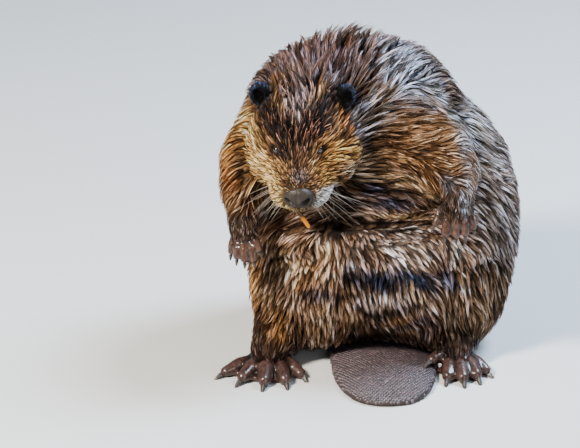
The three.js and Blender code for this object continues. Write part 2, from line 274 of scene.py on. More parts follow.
def smoothed(values, edges, rounds, share=0.5):
    """Pulls each value towards the mean of its neighbours. share is one number, or one for each corner."""
    flat = values if values.ndim == 2 else values[:, None]
    ends = np.concatenate([edges[:, 0], edges[:, 1]])
    others = np.concatenate([edges[:, 1], edges[:, 0]])
    valence = np.bincount(ends, minlength=len(flat))[:, None]
    share = share[:, None] if isinstance(share, np.ndarray) else share
    for _ in range(rounds):
        mean = gathered(ends, flat[others], len(flat)) / valence
        flat = flat + share * (mean - flat)
    return flat if values.ndim == 2 else flat[:, 0]


def bump(distance, width):
    """1 at no distance, falling smoothly to nothing over about twice the width."""
    return np.exp(-((distance / width) ** 2))


def ramp(value, low, high):
    t = np.clip((value - low) / (high - low), 0, 1)
    return t * t * (3 - 2 * t)


# %% [markdown]
# ## Which part of the body is under each corner
#
# Coat depth, hair length and colour all change from part to part. Every corner of the net asks which solid
# is nearest to it. The face carries small forms, so the head's part of the net is divided once more.

# %% Label the net and divide the face
def nearest_parts(points):
    """For each point, the index in flesh_nodes of the solid whose surface is nearest."""
    vertices, polygons, owner = [], [], []
    for k, node in enumerate(flesh_nodes):
        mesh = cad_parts[node].data
        start = len(vertices)
        vertices += [v.co.copy() for v in mesh.vertices]
        for polygon in mesh.polygons:
            polygons.append([start + i for i in polygon.vertices])
            owner.append(k)
    tree = BVHTree.FromPolygons(vertices, polygons)
    owner = np.array(owner)
    return owner[[tree.find_nearest(p)[2] for p in points]]


part = nearest_parts(corners_of(skin.data))
fine = part == flesh_nodes.index("head")
shape = bmesh.new()
shape.from_mesh(skin.data)
shape.edges.ensure_lookup_table()
to_divide = [e for e in shape.edges if fine[e.verts[0].index] and fine[e.verts[1].index]]
bmesh.ops.subdivide_edges(shape, edges=to_divide, cuts=1, use_grid_fill=True)
bmesh.ops.triangulate(shape, faces=[f for f in shape.faces if len(f.verts) > 4])
shape.to_mesh(skin.data)
shape.free()
part = nearest_parts(corners_of(skin.data))
print("after dividing:", len(skin.data.vertices), "corners", len(triangles_of(skin.data)), "triangles")

# %% [markdown]
# ## Smooth the net and sink it under the coat
#
# The solids are faceted, and they reach to the tips of the hair. Real skin lies under that by the depth of
# the coat: nearly a centimetre on the trunk, a few millimetres on the face and nothing on the bare hands
# and feet. The depth is smoothed over the net first, so that no step shows where two parts meet.

# %% Smooth and sink
COAT_DEPTH = {  # millimetres from the solid's surface down to the skin
    "trunk": 7.5,
    "neck": 7.5,
    "head": 3.6,
    "tail_root": 7.0,
    "foreleg": 5.5,
    "hindleg": 7.0,
    "forefoot": -0.5,
    "hindfoot": -0.6,
    "ear": -0.6,
}
# Rounds of smoothing.
SMOOTHING = {"trunk": 36, "neck": 34, "head": 14, "tail_root": 20, "foreleg": 16, "hindleg": 34, "ear": 5}
FEW_ROUNDS = 9  # on hands and feet, whose digits must stay apart
NAPE = np.array([-35, 25, 375]) * MM
NAPE_DEPTH = 9 * MM  # deeper here, because the nape's spikes stand up
SINK_STEPS = 4


def part_values(table, default):
    """One value for each corner of the net, looked up by the part that it belongs to."""
    by_part = [table.get(name, table.get(name.rsplit("_", 1)[0], default)) for name in flesh_nodes]
    return np.array(by_part, float)[part]


corners = corners_of(skin.data)
edges = edges_of(skin.data)
triangles = triangles_of(skin.data)
rounds_wanted = part_values(SMOOTHING, FEW_ROUNDS)
for done in range(int(rounds_wanted.max())):
    corners = smoothed(corners, edges, 1, 0.5 * (rounds_wanted > done))
swell = part_values({node: FINE_SWELL for node in fine_nodes}, BODY_SWELL)
depth = smoothed(part_values(COAT_DEPTH, 8) * MM + swell, edges, 25)
from_nape = np.linalg.norm(corners - NAPE, axis=1)
depth += NAPE_DEPTH * bump(from_nape, 70 * MM) * ramp(corners[:, 2], 290 * MM, 330 * MM)
for _ in range(SINK_STEPS):
    corners = corners - (depth / SINK_STEPS)[:, None] * normals_of(corners, triangles)
    corners = smoothed(corners, edges, 1, 0.25 * (rounds_wanted > FEW_ROUNDS))
print("skin sunk by", round(float(depth.min() / MM), 1), "to", round(float(depth.max() / MM), 1), "mm")

# %% [markdown]
# ## Sculpt the face and the belly
#
# The head has a frame of its own: x to the beaver's left, -y to the nose and z to the crown. In it the two
# sides are mirror images, so each form is written once and used for both. Eyes lie deep in a socket under
# a low brow, the lips close in a groove under the nose, and a sitting beaver's slack belly lies in rolls
# with creases between.

# %% The head's own frame
HEAD_PLACE = np.array([-85, -90, 302])
HEAD_TURN, HEAD_BOW, HEAD_TILT = -6, 32, -1
head_pose = (
    Matrix.Rotation(math.radians(HEAD_TURN), 3, "Z")
    @ Matrix.Rotation(math.radians(HEAD_BOW), 3, "X")
    @ Matrix.Rotation(math.radians(HEAD_TILT), 3, "Y")
)
head_axes = np.array(head_pose)


def into_head(points):
    """From the model's metres to the head's own millimetres."""
    return (points / MM - HEAD_PLACE) @ head_axes


def out_of_head(points):
    return (np.asarray(points, float) @ head_axes.T + HEAD_PLACE) * MM


def node_middle(name):
    low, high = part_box(name)
    return np.array((low + high) / 2)


eye_middles = {side: into_head(node_middle("eye_" + side)) for side in SIDES}
print("eyes in the head's frame:", {side: np.round(at, 1).tolist() for side, at in eye_middles.items()})

# %% Sculpt
SKIN_FLOOR_GAP = 0.6 * MM
normals = normals_of(corners, triangles)
in_head = into_head(corners)
on_head = smoothed((part == flesh_nodes.index("head")).astype(float), edges, 4)
rise = np.zeros(len(corners))  # millimetres along the normal

for side, s in SIDES.items():
    away = np.linalg.norm(in_head - eye_middles[side], axis=1)
    brow = np.linalg.norm(in_head - (eye_middles[side] + [-1 * s, 7, 7]), axis=1)
    under = np.linalg.norm(in_head - (eye_middles[side] + [4 * s, -4, -9]), axis=1)
    rise += on_head * (-3.2 * bump(away, 9) + 2.6 * bump(brow, 7) + 1.3 * bump(under, 6))
    pad = np.linalg.norm(in_head - [17 * s, -92, -20], axis=1)
    rise += on_head * 1.6 * bump(pad, 14)
left_lip = np.linalg.norm((in_head - [28, -74, -20]) / [1, 1.3, 1], axis=1)
rise += on_head * 5.5 * bump(left_lip, 13)  # this lip is puffed out

mouth_height = -34 - 0.006 * in_head[:, 0] ** 2  # a wide, downturned mouth
under_nose = ramp(-in_head[:, 1], 55, 75)
rise -= on_head * under_nose * 3.2 * bump(in_head[:, 2] - mouth_height, 3.2)
philtrum = bump(in_head[:, 0], 2.2) * ramp(in_head[:, 2], -34, -30) * ramp(-in_head[:, 2], 10, 14)
rise -= on_head * ramp(-in_head[:, 1], 90, 96) * 2.2 * philtrum

x, y, z = (corners / MM).T
front = ramp(-y, 40, 90) * (part == flesh_nodes.index("trunk"))
fold_height = 178 + 0.14 * (x + 100)  # the deep fold under the breast, and a lower one on the left
waist_height = 126 + 0.03 * x
rise += front * (-7.0 * bump(z - fold_height, 6) + 3.0 * bump(z - fold_height + 14, 9))
rise += front * ramp(x, -70, -20) * (-5.5 * bump(z - waist_height, 6) + 3.0 * bump(z - waist_height - 14, 10))
rise += front * 2.5 * bump(z - 84, 18)
for height, slope in ((199, 0.02), (186, 0.05), (171, 0.05)):  # finer ones under the left arm
    rise -= front * ramp(x, -45, -15) * 3.6 * bump(z - height - slope * x, 2.6)
for k, (wave, turn) in enumerate([(31, 0.4), (23, 1.3), (41, 2.1), (17, 2.9)]):  # slack, uneven flesh
    across = x * math.cos(turn) + y * math.sin(turn) + 0.6 * z * math.cos(turn * 2.3)
    rise += 0.55 * (rounds_wanted > FEW_ROUNDS) * np.sin(across / wave * 2 + k)

corners = corners + (rise * MM)[:, None] * normals
corners[:, 2] = np.maximum(corners[:, 2], SKIN_FLOOR_GAP)
corners = smoothed(corners, edges, 1, 0.2)
skin.data.vertices.foreach_set("co", corners.ravel())
skin.data.update()
normals = normals_of(corners, triangles)
print("sculpted between", round(float(rise.min()), 1), "and", round(float(rise.max()), 1), "mm")

for polygon in skin.data.polygons:
    polygon.use_smooth = True
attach(skin, "root")
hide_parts(*flesh_nodes)

# %% [markdown]
# ## An unwrap of the skin
#
# Skin and coat share one unwrap. A lock of hair is far too thin to be given a place of its own, so it
# borrows a tiny patch of the skin's unwrap at its root.

# %% Unwrap
BAKE_MAP = "OFBake"
skin.data.uv_layers.new(name=BAKE_MAP)
bpy.context.view_layer.objects.active = skin
skin.select_set(True)
bpy.ops.object.mode_set(mode="EDIT")
bpy.ops.mesh.select_all(action="SELECT")
bpy.ops.uv.smart_project(angle_limit=math.radians(80), island_margin=0.001)
bpy.ops.object.mode_set(mode="OBJECT")
skin.select_set(False)


def corner_maps_of(mesh):
    """The unwrap's coordinates at the three corners of every triangle."""
    flat = np.zeros(len(mesh.loops) * 2)
    mesh.uv_layers[BAKE_MAP].data.foreach_get("uv", flat)
    loops = np.zeros(len(mesh.loop_triangles) * 3, np.int64)
    mesh.loop_triangles.foreach_get("loops", loops)
    return flat.reshape(-1, 2)[loops].reshape(-1, 3, 2)


triangles = triangles_of(skin.data)
triangle_maps = corner_maps_of(skin.data)
print("unwrapped", len(triangles), "triangles")

# %% [markdown]
# ## Which way the hair lies
#
# Hair lies away from the nose, over the crown and down the back, and its own wet weight turns it down on
# the flanks. On the belly it parts from the breastbone, and on the limbs it runs to the wrist or the toes.
# Those few rules give a direction at every corner of the skin. Cowlicks are then combed in where the
# animal has combed itself. Each is named by where a viewer in front sees it, so a line of sight finds its
# place.

# %% Places as a viewer in front sees them
skin_tree = BVHTree.FromPolygons([Vector(c) for c in corners], triangles.tolist())
VIEW_RIGHT = np.array([1, 0, 0.0])
VIEW_UP = np.array([0, math.sin(VIEW_TILT), math.cos(VIEW_TILT)])
VIEW_AHEAD = np.array([0, math.cos(VIEW_TILT), -math.sin(VIEW_TILT)])


def seen_at(across, up):
    """The skin that meets the line of sight through a place on the view, in millimetres from its middle."""
    aim = Vector(np.array(LOOK_AT) + (across * VIEW_RIGHT + up * VIEW_UP) * MM)
    hit = skin_tree.ray_cast(camera.location, (aim - camera.location).normalized())[0]
    return np.array(hit or skin_tree.find_nearest(aim)[0])  # a line that just misses takes the nearest skin


def distance_from(place):
    return np.linalg.norm(corners - place, axis=1) / MM


print("the eye is seen at", np.round(seen_at(41, 92) / MM).tolist())

# %% Where the hair starts and ends
NOSE_TIP = out_of_head([0, -108, -2])
BREASTBONE = seen_at(55, 0)
DOWN = np.array([0, 0, -1.0])
FINGERS = {"left": np.array([104, -150, 160]) * MM, "right": np.array([-158, -135, 125]) * MM}
print("the breastbone is at", np.round(BREASTBONE / MM).tolist())

# %% Cowlicks
# Each row: millimetres across and up the view, the hair's turn from "to the right", reach, strength.
COWLICKS = [
    (12, 216, 96, 16, 2.2),  # the nape, shaken up into spikes
    (50, 224, 78, 16, 2.2),
    (88, 226, 62, 16, 2.2),
    (118, 222, 48, 14, 2.0),
    (-25, 198, 122, 14, 2.2),
    (-48, 178, 148, 14, 2.2),
    (125, 161, 48, 20, 2.0),  # behind the shoulder, combed up to the crest
    (169, 186, 50, 14, 2.2),
    (187, 165, 50, 12, 2.6),
    (200, 139, 46, 12, 2.8),
    (206, 105, 46, 11, 2.8),
    (207, 67, 46, 11, 2.6),
    (137, 130, 32, 20, 1.8),
    (175, 117, 26, 16, 2.0),
    (150, 99, 13, 20, 2.0),
    (181, 80, 12, 14, 2.0),
    (119, 100, 14, 20, 1.6),
    (160, 62, -12, 16, 1.6),
    (196, 196, -35, 10, 2.2),  # beyond the crest it falls away
    (216, 158, -44, 12, 2.8),
    (232, 130, -50, 13, 2.8),
    (238, 100, -52, 14, 2.8),
    (243, 60, -58, 16, 2.6),
    (250, 20, -66, 20, 2.0),
    (258, -20, -76, 26, 1.6),
    (240, -75, -94, 30, 1.4),
    (81, 15, -12, 12, 2.6),  # the folds under the arms, drawn out sideways
    (102, 2, -4, 12, 3.2),
    (131, -2, 2, 12, 3.4),
    (160, -2, 8, 12, 3.4),
    (188, 2, 14, 10, 2.6),
    (119, -18, -6, 12, 3.0),
    (150, -20, -8, 12, 2.8),
    (75, -10, -50, 9, 1.8),
    (-28, -28, -35, 8, 2.8),
    (-15, -40, -18, 8, 3.0),
    (2, -45, 6, 9, 3.0),
    (22, -40, 26, 9, 2.8),
    (40, -28, 42, 8, 2.4),
    (-35, -5, -104, 9, 2.0),
    (-6, -5, -88, 10, 1.6),
    (44, -40, -120, 12, 2.2),  # the belly, wiped this way and that
    (69, -35, -104, 10, 2.2),
    (90, -32, -62, 10, 2.0),
    (128, -38, -34, 13, 2.4),
    (156, -40, -48, 12, 2.2),
    (202, -32, -80, 14, 2.2),
    (210, -64, -84, 13, 2.2),
    (110, -70, -128, 12, 2.6),
    (135, -70, -112, 9, 2.2),
    (162, -72, -84, 12, 2.4),
    (188, -80, -70, 9, 2.0),
    (75, -72, -74, 9, 2.2),
    (-22, -65, -84, 14, 2.0),
    (12, -60, -112, 12, 2.2),
    (28, -90, -80, 12, 2.2),
    (-42, -95, -96, 12, 2.0),
    (85, -105, -84, 9, 2.4),
    (110, -105, -62, 9, 2.6),
    (135, -108, -42, 9, 2.6),
    (152, -122, -24, 10, 2.8),
    (122, -125, -58, 9, 2.2),
    (69, -128, -110, 9, 2.2),
    (-12, -122, -112, 12, 2.4),
    (-35, -128, -124, 10, 2.0),
    (19, -130, -72, 12, 2.0),
    (48, -122, -96, 9, 2.0),
    (194, -110, -74, 12, 2.2),
    (215, -128, -88, 12, 2.2),
    (181, -138, -100, 9, 2.0),
    (-60, 138, 172, 12, 2.4),  # the cheek ruffs, fanned out over the shoulders
    (-62, 112, 184, 14, 2.4),
    (-50, 85, 205, 12, 2.0),
    (72, 128, 62, 12, 2.0),
    (88, 105, 35, 14, 1.8),
    (75, 85, -4, 14, 1.6),
]
print(len(COWLICKS), "cowlicks")


# %% Comb
def is_part(*names):
    wanted = [k for k, node in enumerate(flesh_nodes) if node in names or node.rsplit("_", 1)[0] in names]
    return np.isin(part, wanted)


def soft_front(parts, back_limit, top_limit, rounds):
    """1 on the front of these parts, before and below these limits in millimetres, with a soft edge."""
    inside = is_part(*parts) & (corners[:, 1] < back_limit * MM) & (corners[:, 2] < top_limit * MM)
    return smoothed(inside * 1.0, edges, rounds)


def in_tangent_plane(vectors, across):
    return vectors - (vectors * across).sum(1, keepdims=True) * across


def as_seen(turn):
    """At each corner, the way along the skin that looks turned by this angle on the view."""
    on_view = math.cos(math.radians(turn)) * VIEW_RIGHT + math.sin(math.radians(turn)) * VIEW_UP
    facing = np.minimum(normals @ VIEW_AHEAD, -0.35)  # kept off zero, where the skin turns edge on
    return unit(on_view - (normals @ on_view / facing)[:, None] * VIEW_AHEAD)


away = unit(corners - NOSE_TIP)
weight_of_water = 1.2 * ramp(corners[:, 1], -30 * MM, 60 * MM) + 0.2
weight_of_water = np.where(is_part("head", "neck"), 0.15, weight_of_water)
weight_of_water = smoothed(weight_of_water, edges, 20)
lie = away + weight_of_water[:, None] * DOWN
belly = soft_front(("trunk", "hindleg"), -20, 215, 16)
from_breast = unit(corners - BREASTBONE) + 1.1 * DOWN
lie = lie * (1 - belly[:, None]) + from_breast * belly[:, None]
for side, below_hand in FINGERS.items():
    arm = is_part("foreleg_" + side)
    lie[arm] = 0.8 * away[arm] + 1.0 * unit(below_hand - corners[arm])
lie[is_part("forefoot")] = [0, -0.3, -1]
lie[is_part("hindleg") & (corners[:, 2] < 60 * MM)] = [0, -0.35, -1]
lie[is_part("hindfoot")] = [0, -1, -0.15]
for across, up, turn, reach, strength in COWLICKS:
    pull = strength * bump(distance_from(seen_at(across, up)), reach)[:, None]
    lie = (unit(lie) + pull * as_seen(turn)) / (1 + pull)
lie = unit(in_tangent_plane(smoothed(lie, edges, 4), normals))
print("combed", len(lie), "corners")

# %% [markdown]
# ## Where each part's coat differs
#
# Length, thickness, crowding and the size of the wet clumps come from one table by part, in millimetres.
# On the head they also change from the nose, where the hair is as short as velvet, to the crown, where it
# stands in spikes. The back of the neck stands out most, because the animal has just shaken itself. The
# belly's hair is short, fine and stuck together.

# %% Coat tables
COAT_COLUMNS = ("length", "width", "area", "clump", "wet", "lift", "cling")

# A lock's length and width in millimetres, the skin's area for one lock, the spacing of clumps, how wet (how
# far a clump draws together), lift (how steeply it leaves the skin) and cling (how closely it follows it).
COAT = {
    "trunk": (30, 1.4, 6.6, 5.0, 0.88, 0.05, 0.95),
    "neck": (38, 1.15, 4.8, 5.2, 0.90, 0.55, 0.45),
    "head": (15, 0.85, 3.3, 3.2, 0.72, 0.26, 0.76),
    "tail_root": (22, 1.8, 12.0, 6.0, 0.80, 0.10, 0.90),
    "foreleg": (20, 1.0, 3.9, 4.0, 0.84, 0.10, 0.90),
    "hindleg": (25, 1.4, 7.0, 4.8, 0.84, 0.08, 0.92),
    "forefoot": (4.5, 0.7, 7.0, 3.0, 0.30, 0.08, 0.95),
    "hindfoot": (4.0, 0.7, 14.0, 3.0, 0.30, 0.08, 0.95),
    "ear": (3.4, 0.6, 1.1, 1.8, 0.35, 0.20, 0.85),
}

# Each row: millimetres across and up the view, and reach.
MATTED_SPOTS = ((20, -45, 26), (-10, -42, 20), (112, -8, 24), (140, -6, 24), (168, -8, 18), (85, -8, 20))
SLEEK_SPOTS = ((140, 112, 30), (175, 130, 34))  # on the shoulder, fine hair licked flat

coat_values = {
    name: smoothed(part_values({p: row[k] for p, row in COAT.items()}, 0), edges, 10)
    for k, name in enumerate(COAT_COLUMNS)
}


def towards(share, **values):
    """Moves some of the coat's values this share of the way to other values."""
    for name, value in values.items():
        coat_values[name] = coat_values[name] * (1 - share) + value * share


print(len(COAT_COLUMNS), "values for", len(COAT), "parts")

# %% The coat of head and neck
in_head = into_head(corners)
behind_nose = in_head[:, 1] + 108  # millimetres back from the tip of the nose
on_face = on_head * (1 - ramp(behind_nose, 70, 130))
towards(
    on_face,
    length=3.0 + 11 * ramp(behind_nose, 8, 85),
    width=0.62 + 0.35 * ramp(behind_nose, 10, 80),
    area=1.5 + 2.0 * ramp(behind_nose, 25, 80),
    clump=1.6 + 1.8 * ramp(behind_nose, 15, 80),
)

forehead = on_head * bump(np.linalg.norm((in_head - [0, -30, 38]) / [42, 34, 22], axis=1), 1)
towards(forehead, length=21, width=0.85, wet=0.88, lift=0.7, cling=0.45)

nape = np.maximum(
    ramp(in_head[:, 1], -10, 30) * ramp(in_head[:, 2], 0, 30) * on_head,
    bump(distance_from(np.array([-40, 10, 350]) * MM), 75) * ramp(corners[:, 2], 250 * MM, 310 * MM),
)
towards(nape, length=56, width=1.0, area=4.2, clump=7.5, wet=1.0, lift=1.05, cling=0.14)

print("locks up to", round(float(coat_values["length"].max()), 1), "mm on the nape")

# %% The coat of belly and shoulder
plastered = soft_front(("trunk", "hindleg"), -30, 232, 14)
towards(plastered, length=21, width=0.95, area=3.6, clump=6.2, wet=0.96, lift=0.02)
matted = np.zeros(len(corners))  # the folds, where the hair is a short felt
for across, up, reach in MATTED_SPOTS:
    matted = np.maximum(matted, bump(distance_from(seen_at(across, up)), reach))
towards(matted, length=7, width=0.75, area=2.0, wet=0.6)
fringe = plastered * bump(corners[:, 2] / MM - 62, 14)
towards(fringe, length=26, clump=5)  # it hangs over feet and tail

for across, up, reach in SLEEK_SPOTS:
    sleek = bump(distance_from(seen_at(across, up)), reach)
    towards(sleek, wet=0.5, width=1.2, cling=0.97)

print(int((plastered > 0.5).sum()), "corners under the plastered hair of the belly")

# %% The coat of cheeks, ears, chin, hands and ankles
ruff = on_head * ramp(np.abs(in_head[:, 0]), 40, 56) * ramp(behind_nose, 55, 85)
ruff = ruff * ramp(26 - in_head[:, 2], 0, 12)
towards(ruff, length=26, clump=4.0, wet=0.9, lift=0.5, cling=0.5)

ear_distance = np.full(len(corners), np.inf)
for side in SIDES:
    ear_middle = into_head(node_middle("ear_" + side))
    ear_distance = np.minimum(ear_distance, np.linalg.norm(in_head - ear_middle, axis=1))
by_ear = (1 - ramp(ear_distance, 15, 22)) * (1 - is_part("ear"))
towards(by_ear, length=6, area=1.5, lift=0.1)  # the ears stand clear of the hair round them
towards(is_part("ear"), **dict(zip(COAT_COLUMNS, COAT["ear"])))

chin = on_head * bump(np.linalg.norm((in_head - [-6, -86, -40]) / [1.6, 1, 1], axis=1), 11)
towards(chin, length=12, lift=0.5, cling=0.5)

KNUCKLES = {"left": 214 * MM, "right": 181 * MM}  # hair covers the backs of the hands down to here
hand_backs = np.zeros(len(corners))
for side, low in KNUCKLES.items():
    hand_backs += is_part("forefoot_" + side) * ramp(corners[:, 2] - low, -5 * MM, 5 * MM)
towards(hand_backs, length=8, width=0.75, area=1.9, clump=2.8, wet=0.7, lift=0.06, cling=0.95)
ankle = is_part("hindfoot") & (corners[:, 2] > 27 * MM)
at_ankle = smoothed(ankle * 1.0, edges, 4)
towards(at_ankle, length=18, width=1.0, area=2.6, wet=0.9, clump=4.5)
print({name: (round(float(v.min()), 2), round(float(v.max()), 2)) for name, v in coat_values.items()})

# %% Where no hair grows
NOSE_AT = np.array([2.0, -97.0, -8.5])
NOSE_SIZE = np.array([19.5, 12.0, 17.0])
BARE_ROUND_EYE = (6, 7.5)  # millimetres from the eye's middle: none grows within the first
bare = on_head * (1 - ramp(np.linalg.norm((in_head - NOSE_AT) / NOSE_SIZE, axis=1), 0.95, 1.1))
for side in SIDES:
    from_eye = np.linalg.norm(in_head - eye_middles[side], axis=1)
    bare = np.maximum(bare, 1 - ramp(from_eye, *BARE_ROUND_EYE))
bare = np.maximum(bare, (normals[:, 2] < -0.5) * (corners[:, 2] < 30 * MM))  # the underside, near the floor
bare = np.maximum(bare, is_part("forefoot") * (1 - hand_backs))
bare = np.maximum(bare, is_part("hindfoot") * (1 - at_ankle))
print("bare:", int((bare > 0.5).sum()), "of", len(bare), "corners")

# %% [markdown]
# ## The markings
#
# One set of markings colours both the skin and the hair that grows from it, so no bare gap can show a
# wrong colour. Broad colours go by body part: dark along the back, golden brown on the belly. Marks are
# then laid over them like brush strokes, each with its place as a viewer in front sees it, its length,
# width and turn, a colour and a strength. A slow noise frays their edges. Many marks are painted light:
# the blue-black and pale blue-grey ones are painted reflections of the sky on soaked fur that lies flat,
# and the near-black ones in folds, hollows and under hanging locks are painted shade.

# %% Colours
# PITCH and INK also paint shade in hollows; INK and the three sheen colours paint reflections of the sky on
# wet fur.
PITCH = (0.008, 0.006, 0.005)
INK = (0.014, 0.018, 0.040)
STEEL_SHEEN = (0.060, 0.085, 0.160)
UMBER = (0.075, 0.034, 0.016)
PLUM = (0.110, 0.070, 0.074)
DUN = (0.230, 0.150, 0.105)
MAUVE = (0.240, 0.185, 0.190)
TAUPE = (0.400, 0.350, 0.345)
SLATE_SHEEN = (0.330, 0.355, 0.450)
ICE_SHEEN = (0.560, 0.575, 0.650)
OLIVE = (0.170, 0.110, 0.060)
GOLD = (0.420, 0.215, 0.090)
HONEY = (0.600, 0.280, 0.075)
RUST = (0.380, 0.130, 0.030)
LILAC = (0.710, 0.570, 0.520)
TAN = (0.660, 0.450, 0.280)
CREAM = (1.000, 0.600, 0.230)
FROST = (1.000, 0.950, 0.840)
GROUND_COLOURS = {
    "trunk": (0.150, 0.084, 0.048),
    "neck": (0.120, 0.072, 0.055),
    "head": (0.260, 0.135, 0.055),
    "tail_root": UMBER,
    "foreleg": (0.190, 0.100, 0.046),
    "hindleg": (0.180, 0.098, 0.050),
    "forefoot": (0.048, 0.022, 0.014),
    "ear": (0.016, 0.014, 0.016),
    "hindfoot": (0.030, 0.015, 0.012),
}
# Washes over those, by place.
BACK_COLOUR = (0.150, 0.110, 0.095)
BELLY_COLOUR = (0.355, 0.220, 0.145)
EAR_COLOUR = (0.005, 0.004, 0.005)
ANKLE_COLOUR = (0.045, 0.026, 0.017)
HAND_COLOUR = (0.085, 0.052, 0.036)
print(len(GROUND_COLOURS), "ground colours")

# %% Strokes on the face
# Each stroke: millimetres across and up the view, half its length, half its width, its turn from "to the
# right", its colour and its strength.
FACE_STROKES = [
    # the right cheek, pale from the ear to the lip
    (-59, 140, 20, 12, -65, CREAM, 0.95),
    (-50, 111, 20, 12, -75, CREAM, 0.97),
    (-40, 82, 19, 12, -65, CREAM, 0.97),
    (-28, 58, 16, 11, -55, CREAM, 0.97),
    (-16, 35, 12, 9, -60, CREAM, 0.97),
    (-2, 18, 14, 6, -22, CREAM, 0.95),
    # the dark mask between eyes and ears
    (9, 128, 38, 24, 0, PITCH, 0.97),
    (-21, 129, 25, 19, -50, PITCH, 0.99),
    (-9, 96, 24, 11, -72, PITCH, 0.97),
    (36, 124, 29, 19, 42, PITCH, 0.99),
    (45, 151, 18, 14, 20, PITCH, 0.95),
    (-34, 151, 12, 11, 0, PITCH, 0.9),
    (22, 98, 16, 11, 60, PITCH, 0.93),
    (9, 112, 25, 11, 88, PITCH, 0.95),
    (8, 105, 20, 3.8, 84, UMBER, 0.5),
    # crown and bridge of the nose
    (10, 172, 28, 21, 90, MAUVE, 0.9),
    (12, 175, 22, 18, 90, PLUM, 0.4),
    (11, 145, 15, 5, 90, MAUVE, 0.7),
    (12, 60, 10, 11, 0, MAUVE, 0.8),
    (10, 82, 19, 10, 85, UMBER, 0.85),
    (-1, 51, 8, 6, 0, UMBER, 0.7),
    # left cheek, rusty under the ear and golden by the eye
    (74, 129, 19, 12, -80, RUST, 0.85),
    (82, 140, 10, 6, -70, HONEY, 0.6),
    (66, 94, 30, 16, -8, HONEY, 0.95),
    (51, 79, 20, 10, 35, HONEY, 0.95),
    (44, 58, 15, 10, -30, HONEY, 0.75),
    (88, 70, 22, 9, 10, TAN, 0.6),
    # dark lids
    (41, 92, 8, 5, 60, PITCH, 0.97),
    (-19, 92, 8, 5, -60, PITCH, 0.97),
    # the frosted whisker pad and the chin
    (45, 31, 20, 12, 38, FROST, 0.99),
    (56, 40, 10, 9, 0, FROST, 0.9),
    (24, 19, 9, 5, 0, DUN, 0.7),
]
print(len(FACE_STROKES), "strokes on the face")

